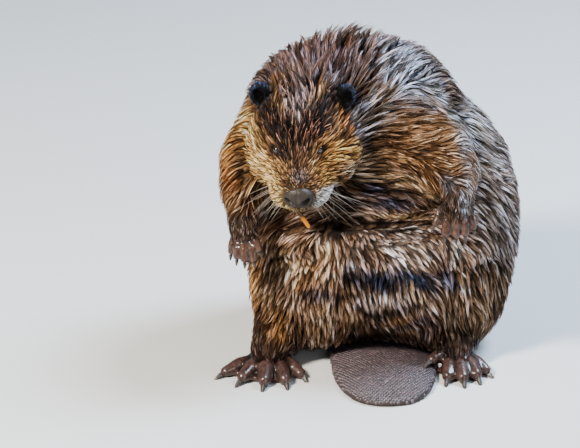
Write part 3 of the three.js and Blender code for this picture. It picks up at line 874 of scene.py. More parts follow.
# %% Strokes on the body
BODY_STROKES = [
    # broad washes of painted cool sheen: the left half of the body is cooler
    (144, -76, 88, 62, -70, MAUVE, 0.5),
    (250, 42, 32, 112, 0, TAUPE, 0.5),
    # nape and shoulders; the slate strokes are painted sky sheen on the wet back
    (35, 208, 78, 30, 5, PLUM, 0.85),
    (-35, 182, 20, 15, 60, PLUM, 0.6),
    (110, 140, 38, 22, 48, TAUPE, 0.6),
    (152, 188, 45, 30, -50, SLATE_SHEEN, 0.97),
    (132, 218, 25, 10, -20, SLATE_SHEEN, 0.6),
    (118, 161, 20, 9, 45, TAN, 0.35),
    # the crest of the shoulder, and the flank beyond it; the ice, lilac and taupe strokes are painted sky
    # reflection
    (188, 160, 19, 6, -62, ICE_SHEEN, 0.8),
    (208, 130, 19, 6, -55, ICE_SHEEN, 0.8),
    (219, 96, 19, 6, -80, ICE_SHEEN, 0.75),
    (221, 60, 18, 3.8, -88, ICE_SHEEN, 0.45),
    (238, 112, 45, 16, -60, ICE_SHEEN, 0.8),
    (261, 55, 42, 16, -72, LILAC, 0.6),
    (272, -14, 45, 16, -85, TAUPE, 0.85),
    (262, -95, 42, 15, 85, OLIVE, 0.7),
    (238, -120, 22, 12, 75, TAN, 0.4),
    (225, -1, 30, 10, -80, UMBER, 0.5),
    # upper arm; the slate strokes are painted sheen
    (169, 92, 32, 9, 4, UMBER, 0.6),
    (150, 80, 32, 5, -12, GOLD, 0.5),
    (188, 70, 15, 11, -50, UMBER, 0.6),
    (198, 51, 11, 10, -60, SLATE_SHEEN, 0.5),
    (218, 24, 15, 6, -84, SLATE_SHEEN, 0.7),
    (90, 71, 22, 19, -20, TAN, 0.95),
    (78, 49, 12, 9, -30, GOLD, 0.6),
    # the right arm and shoulder, golden, with a painted highlight in cream and ice along the top
    (-60, 130, 25, 11, -72, CREAM, 0.93),
    (-66, 154, 11, 6, -50, ICE_SHEEN, 0.6),
    (-54, 95, 20, 10, -68, HONEY, 0.8),
    (-78, 132, 20, 10, 60, TAN, 0.7),
    (-80, 92, 28, 9, 85, HONEY, 0.7),
    (-74, 52, 25, 10, -75, RUST, 0.6),
    (-62, 30, 15, 10, -70, UMBER, 0.7),
    (-51, 58, 18, 8, -75, HONEY, 0.5),
    (-55, 24, 18, 8, -70, UMBER, 0.7),
    # under the left arm and the throat; the ink and pitch strokes are painted shade in the hollow there
    (135, 56, 30, 9, -8, TAN, 0.8),
    (168, 42, 15, 6, -40, TAN, 0.6),
    (106, 42, 20, 9, 0, INK, 0.8),
    (128, 24, 35, 11, 0, INK, 0.95),
    (75, 24, 22, 11, 0, PITCH, 0.85),
    (50, 2, 20, 12, 0, UMBER, 0.8),
    (-10, 2, 22, 15, 0, UMBER, 0.7),
    (-28, -10, 10, 12, -60, RUST, 0.5),
    # the folds across the top of the belly; the pitch lines are painted shade in the creases
    (138, 9, 45, 2.5, 0, TAN, 0.85),
    (138, 2, 48, 2.8, 2, PITCH, 0.97),
    (148, -4, 42, 2.5, 5, LILAC, 0.9),
    (135, -9, 38, 2.5, 4, PITCH, 0.97),
    (158, -12, 30, 3.2, 8, LILAC, 0.9),
    (138, -19, 35, 2.5, 5, PITCH, 0.97),
    (-19, -25, 18, 3.0, -8, GOLD, 0.95),
    (-12, -31, 21, 2.5, -4, PITCH, 0.97),
    (-14, -38, 22, 3.2, 2, TAN, 0.95),
    (-8, -44, 25, 2.6, 4, PITCH, 0.97),
    (0, -51, 25, 3.0, 8, TAN, 0.9),
    (38, -31, 12, 2.2, 38, PITCH, 0.9),
    (45, -24, 11, 2.5, 40, TAN, 0.8),
    # the upper belly
    (-2, -55, 25, 10, 14, TAN, 0.85),
    (44, -38, 16, 9, -45, TAN, 0.9),
    (25, -58, 15, 10, -60, GOLD, 0.7),
    (98, -40, 14, 8, -60, UMBER, 0.8),
    (69, -32, 10, 9, -60, DUN, 0.6),
    (145, -26, 40, 9, 0, LILAC, 0.9),
    (150, -48, 28, 10, 0, LILAC, 0.85),
    (182, -40, 10, 8, -20, MAUVE, 0.7),
    (208, -35, 19, 12, -80, TAUPE, 0.7),
    (195, -52, 10, 8, -60, UMBER, 0.7),
    # the soaked dark knot, with a painted highlight on top, and the blue-black band of painted sky reflection
    (76, -71, 16, 16, 0, PITCH, 0.99),
    (76, -54, 11, 3.8, 0, SLATE_SHEEN, 0.85),
    (112, -74, 31, 15, -15, INK, 0.99),
    (155, -71, 30, 12, -17, STEEL_SHEEN, 0.97),
    (168, -80, 22, 8, -12, INK, 0.85),
    (198, -74, 15, 11, -60, STEEL_SHEEN, 0.8),
    (220, -82, 10, 12, -80, TAUPE, 0.6),
    (162, -91, 20, 6, -50, TAN, 0.7),
    (30, -91, 28, 10, 0, INK, 0.85),
    (12, -76, 15, 10, 70, GOLD, 0.5),
    # the lower belly; the pitch strokes are painted shade under the hanging locks and in the crease above the
    # tail
    (135, -110, 38, 6, 10, PITCH, 0.85),
    (168, -122, 25, 6, -14, INK, 0.85),
    (69, -129, 22, 8, 6, UMBER, 0.85),
    (90, -110, 18, 5, -30, PITCH, 0.8),
    (110, -99, 40, 8, 6, MAUVE, 0.85),
    (122, -99, 28, 8, 12, LILAC, 0.8),
    (75, -91, 28, 4.4, 0, PITCH, 0.9),
    (112, -118, 28, 4.4, -14, PITCH, 0.9),
    (58, -102, 6, 18, 0, PITCH, 0.8),
    (142, -121, 25, 6, 20, GOLD, 0.75),
    (135, -131, 28, 3.8, 14, PITCH, 0.9),
    (148, -138, 22, 3.1, 10, GOLD, 0.6),
    (78, -121, 9, 5, 0, TAN, 0.7),
    (106, -142, 50, 6, 0, PITCH, 0.95),
    (-28, -82, 22, 8, 82, TAN, 0.6),
    (-9, -88, 10, 11, 80, UMBER, 0.7),
    (-51, -90, 38, 9, 85, HONEY, 0.6),
    (-18, -130, 20, 15, -70, GOLD, 0.85),
    (12, -122, 12, 12, -70, UMBER, 0.7),
    (44, -118, 15, 10, 70, TAN, 0.5),
    (202, -120, 22, 18, -62, OLIVE, 0.8),
    (182, -135, 18, 10, -40, UMBER, 0.6),
    (228, -142, 12, 10, -60, PITCH, 0.5),
]


print(len(BODY_STROKES), "strokes on the body")

# %% Lay the strokes
def noise_at(points, size, seed):
    """Smooth noise between -1 and 1, with lumps of this size in millimetres."""
    shift = Vector((seed * 17.3, seed * 5.1, seed * 9.7))
    scale = 1 / (size * MM)
    return np.array([noise.noise(Vector(p) * scale + shift) for p in points.tolist()])


def laid_over(colours, colour, share):
    return colours + (np.array(colour) - colours) * share[:, None]


def marked(colours, points, facing, head_share):
    """Lays all the strokes over these points' colours. facing is 1 where the skin looks to the viewer."""
    from_camera = points - np.array(camera.location)
    scale = VIEW_DISTANCE / (from_camera @ VIEW_AHEAD)
    across, up = from_camera @ VIEW_RIGHT * scale / MM, from_camera @ VIEW_UP * scale / MM
    frayed = 1 + 0.35 * noise_at(points, 14, 1) + 0.3 * noise_at(points, 5, 2)
    for strokes, share in ((BODY_STROKES, facing * (1 - head_share)), (FACE_STROKES, facing * head_share)):
        for x, y, half_length, half_width, turn, colour, strength in strokes:
            along_x, along_y = math.cos(math.radians(turn)), math.sin(math.radians(turn))
            off_x, off_y = across - x, up - y
            in_length = (off_x * along_x + off_y * along_y) / half_length
            in_width = (off_y * along_x - off_x * along_y) / half_width
            reach = bump((in_length**2 + in_width**2) * frayed, 1.0)  # a full middle with a soft edge
            colours = laid_over(colours, colour, strength * share * reach)
    return colours


def seen_from_front(up):
    """1 where a surface with these normals looks to the viewer, fading out just past the rim."""
    return ramp(-(up @ VIEW_AHEAD), -0.25, 0.05)


# %% Colour the skin
ground = np.stack([part_values({p: c[k] for p, c in GROUND_COLOURS.items()}, 0) for k in range(3)], 1)
ground = smoothed(ground, edges, 8)
back = ramp(corners[:, 1], -10 * MM, 50 * MM) + ramp(corners[:, 2], 300 * MM, 350 * MM) * (1 - on_head)
ground = laid_over(ground, BACK_COLOUR, np.minimum(back, 1) * 0.8)
front_belly = soft_front(("trunk",), -40, 215, 16)
ground = laid_over(ground, BELLY_COLOUR, front_belly * 0.8)
for side in SIDES:
    rim = np.linalg.norm(in_head - eye_middles[side], axis=1)
    ground = laid_over(ground, PITCH, 0.9 * bump(rim, 8))
    from_middle = np.linalg.norm(in_head - into_head(node_middle("ear_" + side)), axis=1)
    ear = smoothed(is_part("ear_" + side) * 1.0, edges, 1)
    ground = laid_over(ground, EAR_COLOUR, ear)
    # painted highlight: a bluish sheen on the wet hair of the ear's rim
    ground = laid_over(ground, STEEL_SHEEN, 0.35 * ear * ramp(from_middle, 10, 15))  # wet hair on the ear's rim
ground *= np.exp(0.3 * noise_at(corners, 22, 3) + 0.3 * noise_at(corners, 9, 4))[:, None]
sole_and_toes = is_part("hindfoot") & ~ankle
ground = laid_over(ground, ANKLE_COLOUR, at_ankle)
ground = laid_over(ground, HAND_COLOUR, hand_backs)
bare_hands = is_part("forefoot") * (1 - hand_backs)
hairless = smoothed(np.maximum(bare_hands, sole_and_toes | is_part("ear")), edges, 3)
# Painted shade and light from the skin's shape: darker in the hollows between the digits and in the rolls of
# the belly, lighter on ridges.
grooves = ((smoothed(corners, edges, 12) - corners) * normals).sum(axis=1) / MM
creases = ((smoothed(corners, edges, 40) - corners) * normals).sum(axis=1) / MM
shadow = np.clip(2.4 * grooves, -0.5, 2.5) * hairless + np.clip(0.35 * creases, -0.4, 0.9) * (1 - hairless)
ground *= np.exp(-shadow)[:, None]  # dark between the digits and in the rolls of the belly
strokes_reach = seen_from_front(normals) * (1 - hairless)
markings = marked(ground, corners, strokes_reach, on_head)
print("markings from", np.round(markings.min(axis=0), 3), "to", np.round(markings.max(axis=0), 3))

# %% [markdown]
# ## Finishes
#
# A finish is a node tree that a small class builds. Where its colour or its roughness changes over the
# surface, the script writes that change as ordinary arithmetic: a Value wraps a socket, and sums and
# products of Values add the Math nodes. Every other node comes from one method that takes its type, its
# settings and its sockets.

# %% A small language for finishes
class Value:
    """A number that changes over the surface."""

    def __init__(self, finish, socket):
        self.finish = finish
        self.socket = socket

    def maths(self, operation, *numbers):
        return self.finish.node("ShaderNodeMath", {"operation": operation}, dict(enumerate(numbers)))

    def __add__(self, other):
        return self.maths("ADD", self, other)

    def __sub__(self, other):
        return self.maths("SUBTRACT", self, other)

    def __rsub__(self, other):
        return self.maths("SUBTRACT", other, self)

    def __mul__(self, other):
        return self.maths("MULTIPLY", self, other)

    __radd__ = __add__
    __rmul__ = __mul__


class Finish:
    """A material with one Principled shader."""

    def __init__(self, name, **constants):
        self.material = bpy.data.materials.new(name)
        self.material.use_nodes = True
        self.nodes = self.material.node_tree.nodes
        self.shader = self.nodes["Principled BSDF"]
        for socket, value in constants.items():
            self.set(self.shader, socket.replace("_", " "), value)

    def set(self, node, key, value):
        """Links or sets one socket, found by its number, its identifier or its name."""
        if isinstance(key, int):
            socket = node.inputs[key]
        else:
            socket = next((s for s in node.inputs if s.identifier == key), None) or node.inputs[key]
        if isinstance(value, Value):
            self.material.node_tree.links.new(value.socket, socket)
        elif isinstance(value, tuple) and socket.type == "RGBA":
            socket.default_value = (*value, 1)
        else:
            socket.default_value = value

    def node(self, kind, settings=None, sockets=None, output=0):
        made = self.nodes.new(kind)
        for name, value in (settings or {}).items():
            setattr(made, name, value)
        for key, value in (sockets or {}).items():
            self.set(made, key, value)
        return Value(self, made.outputs[output])

    def marking(self, output=0):
        """The colour stored at each corner or, as output 3, the number stored with it."""
        return self.node("ShaderNodeAttribute", {"attribute_name": "marking"}, output=output)

    def greys(self, share, *stops):
        """Turns a number into a grey. Each of the two stops is a place on the scale and its grey."""
        made = self.node("ShaderNodeValToRGB", {}, {0: share})
        for element, (at, grey) in zip(made.socket.node.color_ramp.elements, stops):
            element.position = at
            element.color = (grey, grey, grey, 1)
        return made

    def place(self):
        return self.node("ShaderNodeTexCoord", output=3)

    def grain(self, size, detail=3, stretch=(1, 1, 1)):
        """Noise from 0 to 1 with lumps of this size in millimetres."""
        where = self.node("ShaderNodeMapping", {}, {"Vector": self.place(), "Scale": stretch})
        sockets = {"Vector": where, "Scale": 1 / (size * MM), "Detail": detail}
        return self.node("ShaderNodeTexNoise", {}, sockets)

    def mixed(self, share, first, second, blend="MIX"):
        settings = {"data_type": "RGBA", "blend_type": blend}
        sockets = {"Factor_Float": share, "A_Color": first, "B_Color": second}
        return self.node("ShaderNodeMix", settings, sockets, output=2)

    def bumped(self, height, distance, strength=1.0):
        """Turns a height from 0 to 1 into a normal. distance is in millimetres."""
        sockets = {"Height": height, "Distance": distance * MM, "Strength": strength}
        self.set(self.shader, "Normal", self.node("ShaderNodeBump", {}, sockets))

    def paint(self, colour):
        self.set(self.shader, "Base Color", colour)

    def shine(self, roughness):
        self.set(self.shader, "Roughness", roughness)


# %% Wet fur, and the skin under it
def wet_coat():
    """Soaked guard hair: the markings, with a fine break-up. Only the locks that are wet on top shine."""
    fur = Finish("wet_coat", IOR=1.35, Specular_IOR_Level=0.1, Coat_Roughness=0.16)
    wetness = fur.marking(output=3)
    flecks = fur.grain(1.4, 2)
    speckle = fur.greys(flecks, (0.35, 0.4), (0.7, 1))
    fur.paint(fur.mixed(0.35, fur.marking(), speckle, "MULTIPLY"))
    fur.shine(0.55 - 0.35 * wetness + 0.1 * flecks)
    fur.set(fur.shader, "Coat Weight", wetness * fur.grain(9, 2))
    fur.bumped(fur.grain(0.7, 2), 0.25, 0.6)
    return fur.material


def hide():
    """The skin: felt darkened as painted shade under the coat, and bare, wet leather on hands and feet."""
    leather = Finish("hide", IOR=1.45, Specular_IOR_Level=0.15, Coat_Roughness=0.2)
    marking = leather.marking()
    bareness = leather.marking(output=3)
    felt = leather.grain(1.1, 4)
    # under the coat the felt is darkened as painted shade between the locks
    shaded_felt = leather.greys(felt, (0.35, 0.04), (0.75, 0.22))
    wrinkles = leather.grain(3.0, 4, (1, 1, 0.45))
    pores = leather.greys(wrinkles, (0.32, 0.35), (0.7, 1.2))
    under_hair = leather.mixed(1.0, marking, shaded_felt, "MULTIPLY")
    in_the_open = leather.mixed(1.0, marking, pores, "MULTIPLY")
    leather.paint(leather.mixed(bareness, under_hair, in_the_open))
    leather.shine((0.5 + 0.3 * felt) * (1 - bareness) + (0.26 + 0.34 * wrinkles) * bareness)
    leather.set(leather.shader, "Coat Weight", bareness * leather.grain(7, 2))
    leather.bumped(0.5 * felt * (1 - bareness) + wrinkles * bareness, 0.8, 0.6)
    return leather.material


def paint_corners(mesh, colours, share):
    """Stores each corner's colour, with a number from 0 to 1 in the fourth place."""
    tone = mesh.attributes.new("marking", "FLOAT_COLOR", "POINT")
    tone.data.foreach_set("color", np.concatenate([colours, share[:, None]], axis=1).ravel())


coat_finish = wet_coat()
shows_leather = np.maximum(1 - hand_backs - is_part("ear"), 0) * hairless
paint_corners(skin.data, markings, smoothed(shows_leather, edges, 1))
skin.data.materials.clear()
skin.data.materials.append(hide())
print("finishes for coat and skin")

# %% [markdown]
# ## Clumps and locks
#
# Wet hair doesn't fall one by one: water draws neighbours into a clump with a common tip. So a few
# thousand clump guides are walked over the skin first, each step following the lie of the coat. Every lock
# then starts at its own root and leans in on its clump's guide. A lock is a thin closed spike with three
# sides and at most five joints, which is enough for the eye and light enough to grow nearly ninety
# thousand of them.

# %% Sow the roots
dice = np.random.default_rng(11)


def over_triangles(values):
    return values[triangles].mean(axis=1)


a, b, c = (corners[triangles[:, k]] for k in range(3))
triangle_area = np.linalg.norm(np.cross(b - a, c - a), axis=1) / 2 / MM**2
wanted = triangle_area / over_triangles(coat_values["area"]) * (1 - over_triangles(bare))
root_counts = np.floor(wanted + dice.random(len(wanted))).astype(int)
root_triangle = np.repeat(np.arange(len(triangles)), root_counts)
root_shares = dice.dirichlet((1.0, 1.0, 1.0), len(root_triangle))


def at_roots(values):
    """Values of the skin's corners, carried to the roots."""
    shares = root_shares if values.ndim == 1 else root_shares[:, :, None]
    return (values[triangles[root_triangle]] * shares).sum(axis=1)


roots = at_roots(corners)
print(len(roots), "locks to grow")

# %% Draw neighbours into clumps
TWIN_GUARD = 10 * MM  # roots are lifted this far to compare them: an arm's hair then never joins the belly's


def tree_of(points):
    tree = KDTree(len(points))
    for k, point in enumerate(points):
        tree.insert(point, k)
    tree.balance()
    return tree


def clump_centres(points, reach):
    """Roots that are farther apart than their reach, taken in the order given."""
    tree = tree_of(points)
    taken = np.zeros(len(points), bool)
    chosen = []
    for k in range(len(points)):
        if not taken[k]:
            chosen.append(k)
            taken[[found[1] for found in tree.find_range(points[k], reach[k])]] = True
    return np.array(chosen)


root_up = unit(at_roots(normals))
shuffle = dice.permutation(len(roots))
roots, root_up = roots[shuffle], root_up[shuffle]
root_triangle, root_shares = root_triangle[shuffle], root_shares[shuffle]
lifted = roots + root_up * TWIN_GUARD
clump_reach = at_roots(coat_values["clump"]) * MM * dice.uniform(0.6, 1.3, len(roots))
centre = clump_centres(lifted.tolist(), clump_reach)
centre_tree = tree_of(lifted[centre].tolist())
clump = np.array([centre_tree.find(p)[1] for p in lifted.tolist()])
print(len(centre), "clumps")

# %% Walk one guide for each clump
JOINTS = 5
along = np.linspace(0, 1, JOINTS)
SWAY = (0.45, 0.3)  # how much a guide wavers with its neighbours, and how much more where hair is tousled
SCATTER = (0.08, 0.28)  # the same for each guide by itself
LEAST_TOP = 1.2  # millimetres that a guide's tip rises over the skin at the least


def on_skin(points):
    """The nearest point of the skin, with its triangle and its smoothed normal."""
    found = [skin_tree.find_nearest(p)[::2] for p in points.tolist()]
    triangle = np.array([f[1] for f in found])
    return np.array([f[0] for f in found]), triangle, unit(normals[triangles[triangle]].mean(axis=1))


def part_way(lines, shares):
    """The points these shares of the way along each line of JOINTS points."""
    place = shares * (JOINTS - 1)
    below = np.clip(place.astype(int), 0, JOINTS - 2)
    fraction = (place - below)[:, :, None]
    picked = np.arange(len(lines))[:, None]
    return lines[picked, below] * (1 - fraction) + lines[picked, below + 1] * fraction


def at_centres(values):
    """Values of the skin's corners, carried to the middle of each clump, as a column."""
    return at_roots(values)[centre][:, None]


coat_height = (depth - swell) / MM
clump_length = at_centres(coat_values["length"]) * dice.uniform(0.75, 1.25, (len(centre), 1)) * MM
clump_top = np.maximum(at_centres(coat_height), LEAST_TOP) * dice.uniform(0.4, 1.05, (len(centre), 1)) * MM
lift = at_centres(coat_values["lift"])
cling = at_centres(coat_values["cling"])
guide = np.zeros((len(centre), JOINTS, 3))
guide[:, 0] = roots[centre]
up = root_up[centre]
sway = np.stack([noise_at(guide[:, 0], 26, 30 + k) for k in range(3)], axis=1)
tousled = np.maximum(at_centres(forehead), 0.6 * at_centres(nape))
scatter = (SCATTER[0] + SCATTER[1] * tousled) * dice.normal(0, 1, (len(centre), 3))
waver = (SWAY[0] + SWAY[1] * tousled) * sway + scatter
heading = unit(at_roots(lie)[centre] + waver)
for k in range(1, JOINTS):
    forward = unit(heading + lift * (1.6 - along[k]) * up)  # steepest near the root
    free = guide[:, k - 1] + forward * clump_length / (JOINTS - 1)
    foot, triangle, up = on_skin(free)
    clung = foot + up * clump_top * along[k] ** 0.6
    guide[:, k] = free + (clung - free) * cling
    local_lie = lie[triangles[triangle]].mean(axis=1)
    heading = unit(in_tangent_plane(heading + 0.9 * (local_lie + waver), up) + 0.05 * DOWN)
shortest, longest = (round(float(v / MM), 1) for v in (clump_length.min(), clump_length.max()))
print("guides from", shortest, "to", longest, "mm")

# %% Lay each lock along its guide
ROOT_DEPTH = 0.4 * MM
FLOOR_GAP = 0.9 * MM
lock_count = len(roots)
share_of_length = dice.uniform(0.72, 1.12, (lock_count, 1)) * along
wet = at_roots(coat_values["wet"])[:, None] * dice.uniform(0.8, 1.15, (lock_count, 1))
offset = roots - roots[centre][clump]
locks = part_way(guide[clump], share_of_length)
locks += offset[:, None] * (1 - wet * along**0.75)[:, :, None]
stray = dice.normal(0, 0.02, (lock_count, 1, 3)) * (at_roots(coat_values["length"]) * MM)[:, None, None]
locks += stray * (along**1.5)[None, :, None]
lock_up = np.repeat(root_up[:, None], JOINTS, axis=1)
lock_triangle = np.repeat(root_triangle[:, None], JOINTS, axis=1)
for k in range(1, JOINTS):
    foot, lock_triangle[:, k], up = on_skin(locks[:, k])
    height = ((locks[:, k] - foot) * up).sum(axis=1)
    least = (0.25 + 0.9 * along[k]) * MM * dice.uniform(0.5, 1.5, lock_count)
    locks[:, k] += up * np.maximum(least - height, 0)[:, None]
    lock_up[:, k] = up
locks[:, 0] -= root_up * ROOT_DEPTH
locks[:, :, 2] = np.maximum(locks[:, :, 2], FLOOR_GAP)
print(lock_count, "locks laid")

# %% Stop the hair short of eyes and ears
EYE_CLEARANCE = 6.0  # millimetres from the eye's middle
SHORT_OF_IT = 0.9  # a lock ends this many joints before the one that lies in the way
LEAST_KEPT = 0.5
on_ear = is_part("ear")[triangles[lock_triangle, 0]]
in_the_way = on_ear[:, :1] < on_ear
for side in SIDES:
    in_the_way |= np.linalg.norm(into_head(locks) - eye_middles[side], axis=2) < EYE_CLEARANCE
first = in_the_way[:, 1:].argmax(axis=1) + 1
reached = np.maximum(first - SHORT_OF_IT, LEAST_KEPT) / (JOINTS - 1)
kept = np.where(in_the_way[:, 1:].any(axis=1), reached, 1)
locks = part_way(locks, kept[:, None] * along)
on_ear = on_ear[:, 0]
print((kept < 1).sum(), "of them cut short at eyes and ears")

# %% [markdown]
# ## From a lock's line to its solid
#
# A lock is modelled once as a template: a triangle, drawn out joint by joint and closed to a point. Each
# lock then takes the template's faces, and its corners are set along its own line: two at the sides and
# one on top. Its width swells a little from the root and tapers to nothing. Short locks bend less, so they
# skip one joint.

# %% Templates
SIDES_OF_LOCK = 3


def only(kind, elements):
    """The elements of one kind: bmesh operators return corners, edges and faces in one list."""
    return [element for element in elements if isinstance(element, kind)]


def faces_of(shape):
    """Each face as the numbers of its corners."""
    return [[v.index for v in face.verts] for face in shape.faces]


class LockTemplate:
    """A spike along z with a ring of corners at each of these joints of a lock's line."""

    def __init__(self, joints):
        spike = bmesh.new()
        bmesh.ops.create_circle(spike, segments=SIDES_OF_LOCK, radius=1, cap_ends=True)
        ring_edges = list(spike.edges)
        for _ in joints[1:]:
            drawn = bmesh.ops.extrude_edge_only(spike, edges=ring_edges)["geom"]
            ring_edges = only(bmesh.types.BMEdge, drawn)
            ring_corners = only(bmesh.types.BMVert, drawn)
            bmesh.ops.translate(spike, verts=ring_corners, vec=(0, 0, 1))
        bmesh.ops.pointmerge(spike, verts=ring_corners, merge_co=(0, 0, len(joints) - 1))
        bmesh.ops.recalc_face_normals(spike, faces=spike.faces)
        spike.verts.index_update()
        self.joint = np.array([joints[round(v.co.z)] for v in spike.verts])
        self.x = np.array([v.co.x for v in spike.verts])
        self.y = np.array([v.co.y for v in spike.verts])
        self.faces = faces_of(spike)
        self.triangle_count = sum(len(f) - 2 for f in self.faces)
        spike.free()


long_lock = LockTemplate([0, 1, 2, 3, 4])
short_lock = LockTemplate([0, 1, 3, 4])
print("templates of", long_lock.triangle_count, "and", short_lock.triangle_count, "triangles")

# %% Width and roll of each lock
WIDTH_PROFILE = np.array([0.75, 1.0, 0.9, 0.62, 0.0])  # from root to tip
THICKNESS = 0.3  # of its width
SHORT = 30 * MM  # locks under this length skip one joint
ROLL = 0.28  # radians

run = unit(np.gradient(locks, axis=1))
side = unit(np.cross(run, lock_up))
roll = dice.normal(0, ROLL, (lock_count, 1, 1))
side = side * np.cos(roll) + lock_up * np.sin(roll)
top = np.cross(side, run)
width = at_roots(coat_values["width"]) * dice.uniform(0.65, 1.3, lock_count) * MM
lock_length = np.linalg.norm(np.diff(locks, axis=1), axis=2).sum(axis=1)
is_short = (lock_length < SHORT) | on_ear
print(int(is_short.sum()), "short locks and", int((~is_short).sum()), "long ones")

# %% Meshes from arrays
def joined_copies(name, places, faces):
    """One mesh of many copies of a small form: places holds each copy's corners."""
    count, size = places.shape[:2]
    mesh = bpy.data.meshes.new(name)
    mesh.vertices.add(count * size)
    mesh.vertices.foreach_set("co", places.ravel())
    loops = (np.arange(count)[:, None] * size + np.concatenate(faces)).ravel()
    mesh.loops.add(len(loops))
    mesh.loops.foreach_set("vertex_index", loops)
    totals = np.tile([len(f) for f in faces], count)
    mesh.polygons.add(len(totals))
    mesh.polygons.foreach_set("loop_start", np.cumsum(totals) - totals)
    mesh.polygons.foreach_set("loop_total", totals)
    mesh.update(calc_edges=True)
    return mesh


# %% Colour each lock
LOCK_SPREAD = 0.22  # how much one lock's brightness differs from the next one's
GLINT = (0.12, 2.3)  # share of the locks that catch the light, and how much lighter they are
SHADE = (0.22, 0.3)  # and the dark ones
CLUMP_SPREAD = 0.40  # the same for whole clumps
CLUMP_GLINT = (0.16, 1.8)
CLUMP_SHADE = (0.27, 0.26)
ROOT_SHADE = np.array([0.12, 0.55, 1.0, 1.15, 1.0])  # from root to tip
REDDISH = (0.34, 0.140, 0.075)  # some of the tousled hair
REDDISH_SHARE = 0.25
# painted light: dark locks are tinted redder as in shade, and light ones bluer as a painted reflection of the
# sky
WARM_SHADE = np.array([0.16, 0.0, -0.26])  # dark locks are redder, and light ones bluer
DARKEST, LIGHTEST = 0.002, 0.92
WETNESS_ALONG = np.array([0, 0.4, 1, 1, 0.7])  # from root to tip


def tones(count, spread, light, dark):
    """Random brightness: a spread round 1, with some light and some dark ones."""
    tone = np.exp(dice.normal(0, spread, count))
    chance = dice.random(count)
    return tone * np.where(chance < light[0], light[1], np.where(chance > 1 - dark[0], dark[1], 1))


joint_corners = triangles[lock_triangle]
joint_reach = seen_from_front(lock_up) * (1 - hairless[joint_corners].mean(axis=2)) * ~on_ear[:, None]
joint_colours = marked(
    ground[joint_corners].mean(axis=2).reshape(-1, 3),
    locks.reshape(-1, 3),
    joint_reach.ravel(),
    on_head[joint_corners].mean(axis=2).ravel(),
).reshape(lock_count, JOINTS, 3)
tousled = np.maximum(at_roots(forehead), 0.8 * at_roots(nape))
reddish = (dice.random(lock_count) < REDDISH_SHARE) * tousled * ~on_ear
joint_colours += (np.array(REDDISH) - joint_colours) * 0.85 * reddish[:, None, None]
clump_radius = np.maximum(at_roots(coat_values["clump"]), 1) * 0.6 * MM
from_core = np.clip(np.linalg.norm(offset, axis=1) / clump_radius, 0, 1)
clump_tone = tones(len(centre), CLUMP_SPREAD, CLUMP_GLINT, CLUMP_SHADE)[clump]
lock_tone = tones(lock_count, LOCK_SPREAD, GLINT, SHADE)
tone = clump_tone * lock_tone * (1.45 - 0.95 * from_core)  # a clump's rim lies in the shade of its ridge
warmth = np.clip((1.3 - tone) / 0.9, -1, 1) * (1 - 0.7 * at_roots(on_head))
tint = np.exp(warmth[:, None] * WARM_SHADE)[:, None]
lock_colours = joint_colours * tint * tone[:, None, None] * ROOT_SHADE[:, None]
lock_colours = np.clip(lock_colours, DARKEST, LIGHTEST)
wetness = np.clip(0.8 * (tone - 0.8), 0.05, 1) * ~on_ear  # light locks are the wet, shining ones
wetness = wetness[:, None] * WETNESS_ALONG
print("lock colours average", np.round(lock_colours.mean(axis=(0, 1)), 3).tolist())

# %% Grow the coat
TRIANGLES_PER_PIECE = 190_000
PATCH = 0.0015  # half of a lock's patch on the unwrap
root_maps = (triangle_maps[root_triangle] * root_shares[:, :, None]).sum(axis=1)


def lock_corners(chosen, template):
    """Places of all the template's corners for the chosen locks."""
    half = (width[chosen, None] * WIDTH_PROFILE / 2)[:, template.joint, None]
    line = locks[chosen][:, template.joint]
    across = side[chosen][:, template.joint] * template.x[:, None]
    over = top[chosen][:, template.joint] * template.y[:, None] * THICKNESS
    return line + half * (across + over)


def coat_piece(name, chosen, template):
    """Joins the chosen locks into one mesh with its unwrap patches."""
    mesh = joined_copies(name, lock_corners(chosen, template), template.faces)
    mesh.shade_smooth()
    in_patch = np.stack([template.x, 2 * template.joint / (JOINTS - 1) - 1], 1) * PATCH
    corner_maps = (root_maps[chosen][:, None] + in_patch).reshape(-1, 2)
    loops = np.zeros(len(mesh.loops), np.int64)
    mesh.loops.foreach_get("vertex_index", loops)
    mesh.uv_layers.new(name=BAKE_MAP)
    mesh.uv_layers[BAKE_MAP].data.foreach_set("uv", corner_maps[loops].ravel())
    colours = lock_colours[chosen][:, template.joint].reshape(-1, 3)
    paint_corners(mesh, colours, wetness[chosen][:, template.joint].ravel())
    mesh.materials.append(coat_finish)
    piece = add_object(name, mesh)
    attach(piece, "root")
    print(name, len(chosen), "locks,", len(chosen) * template.triangle_count, "triangles")


root_part = part[triangles[root_triangle, 0]]
for k, node in enumerate(flesh_nodes):
    for size, template in (("long", long_lock), ("short", short_lock)):
        chosen = np.flatnonzero((root_part == k) & (is_short == (size == "short")))
        order = chosen[np.argsort(np.arctan2(roots[chosen, 1], roots[chosen, 0]))]
        pieces = math.ceil(len(order) * template.triangle_count / TRIANGLES_PER_PIECE)
        for n, group in enumerate(np.array_split(order, pieces) if pieces else []):
            coat_piece(f"coat_{node}_{size}_{n + 1}", group, template)

# %% [markdown]
# ## Eyes and lids
#
# A beaver's eye is a small dark bead set deep in the fur. Each is a whole ball, three quarters of it sunk
# in its socket, because a flat disc would lose its glint from the side. The lids are one almond ring: a
# small circle spun round the line of sight, then drawn out to two corners.

# %% Helpers for the harder pieces
HEAD_MATRIX = Matrix.Translation(Vector(HEAD_PLACE) * MM) @ head_pose.to_4x4()


def turned_to(direction):
    """The turn that brings the upward axis into this direction."""
    return direction.to_track_quat("Z", "Y").to_matrix().to_4x4()


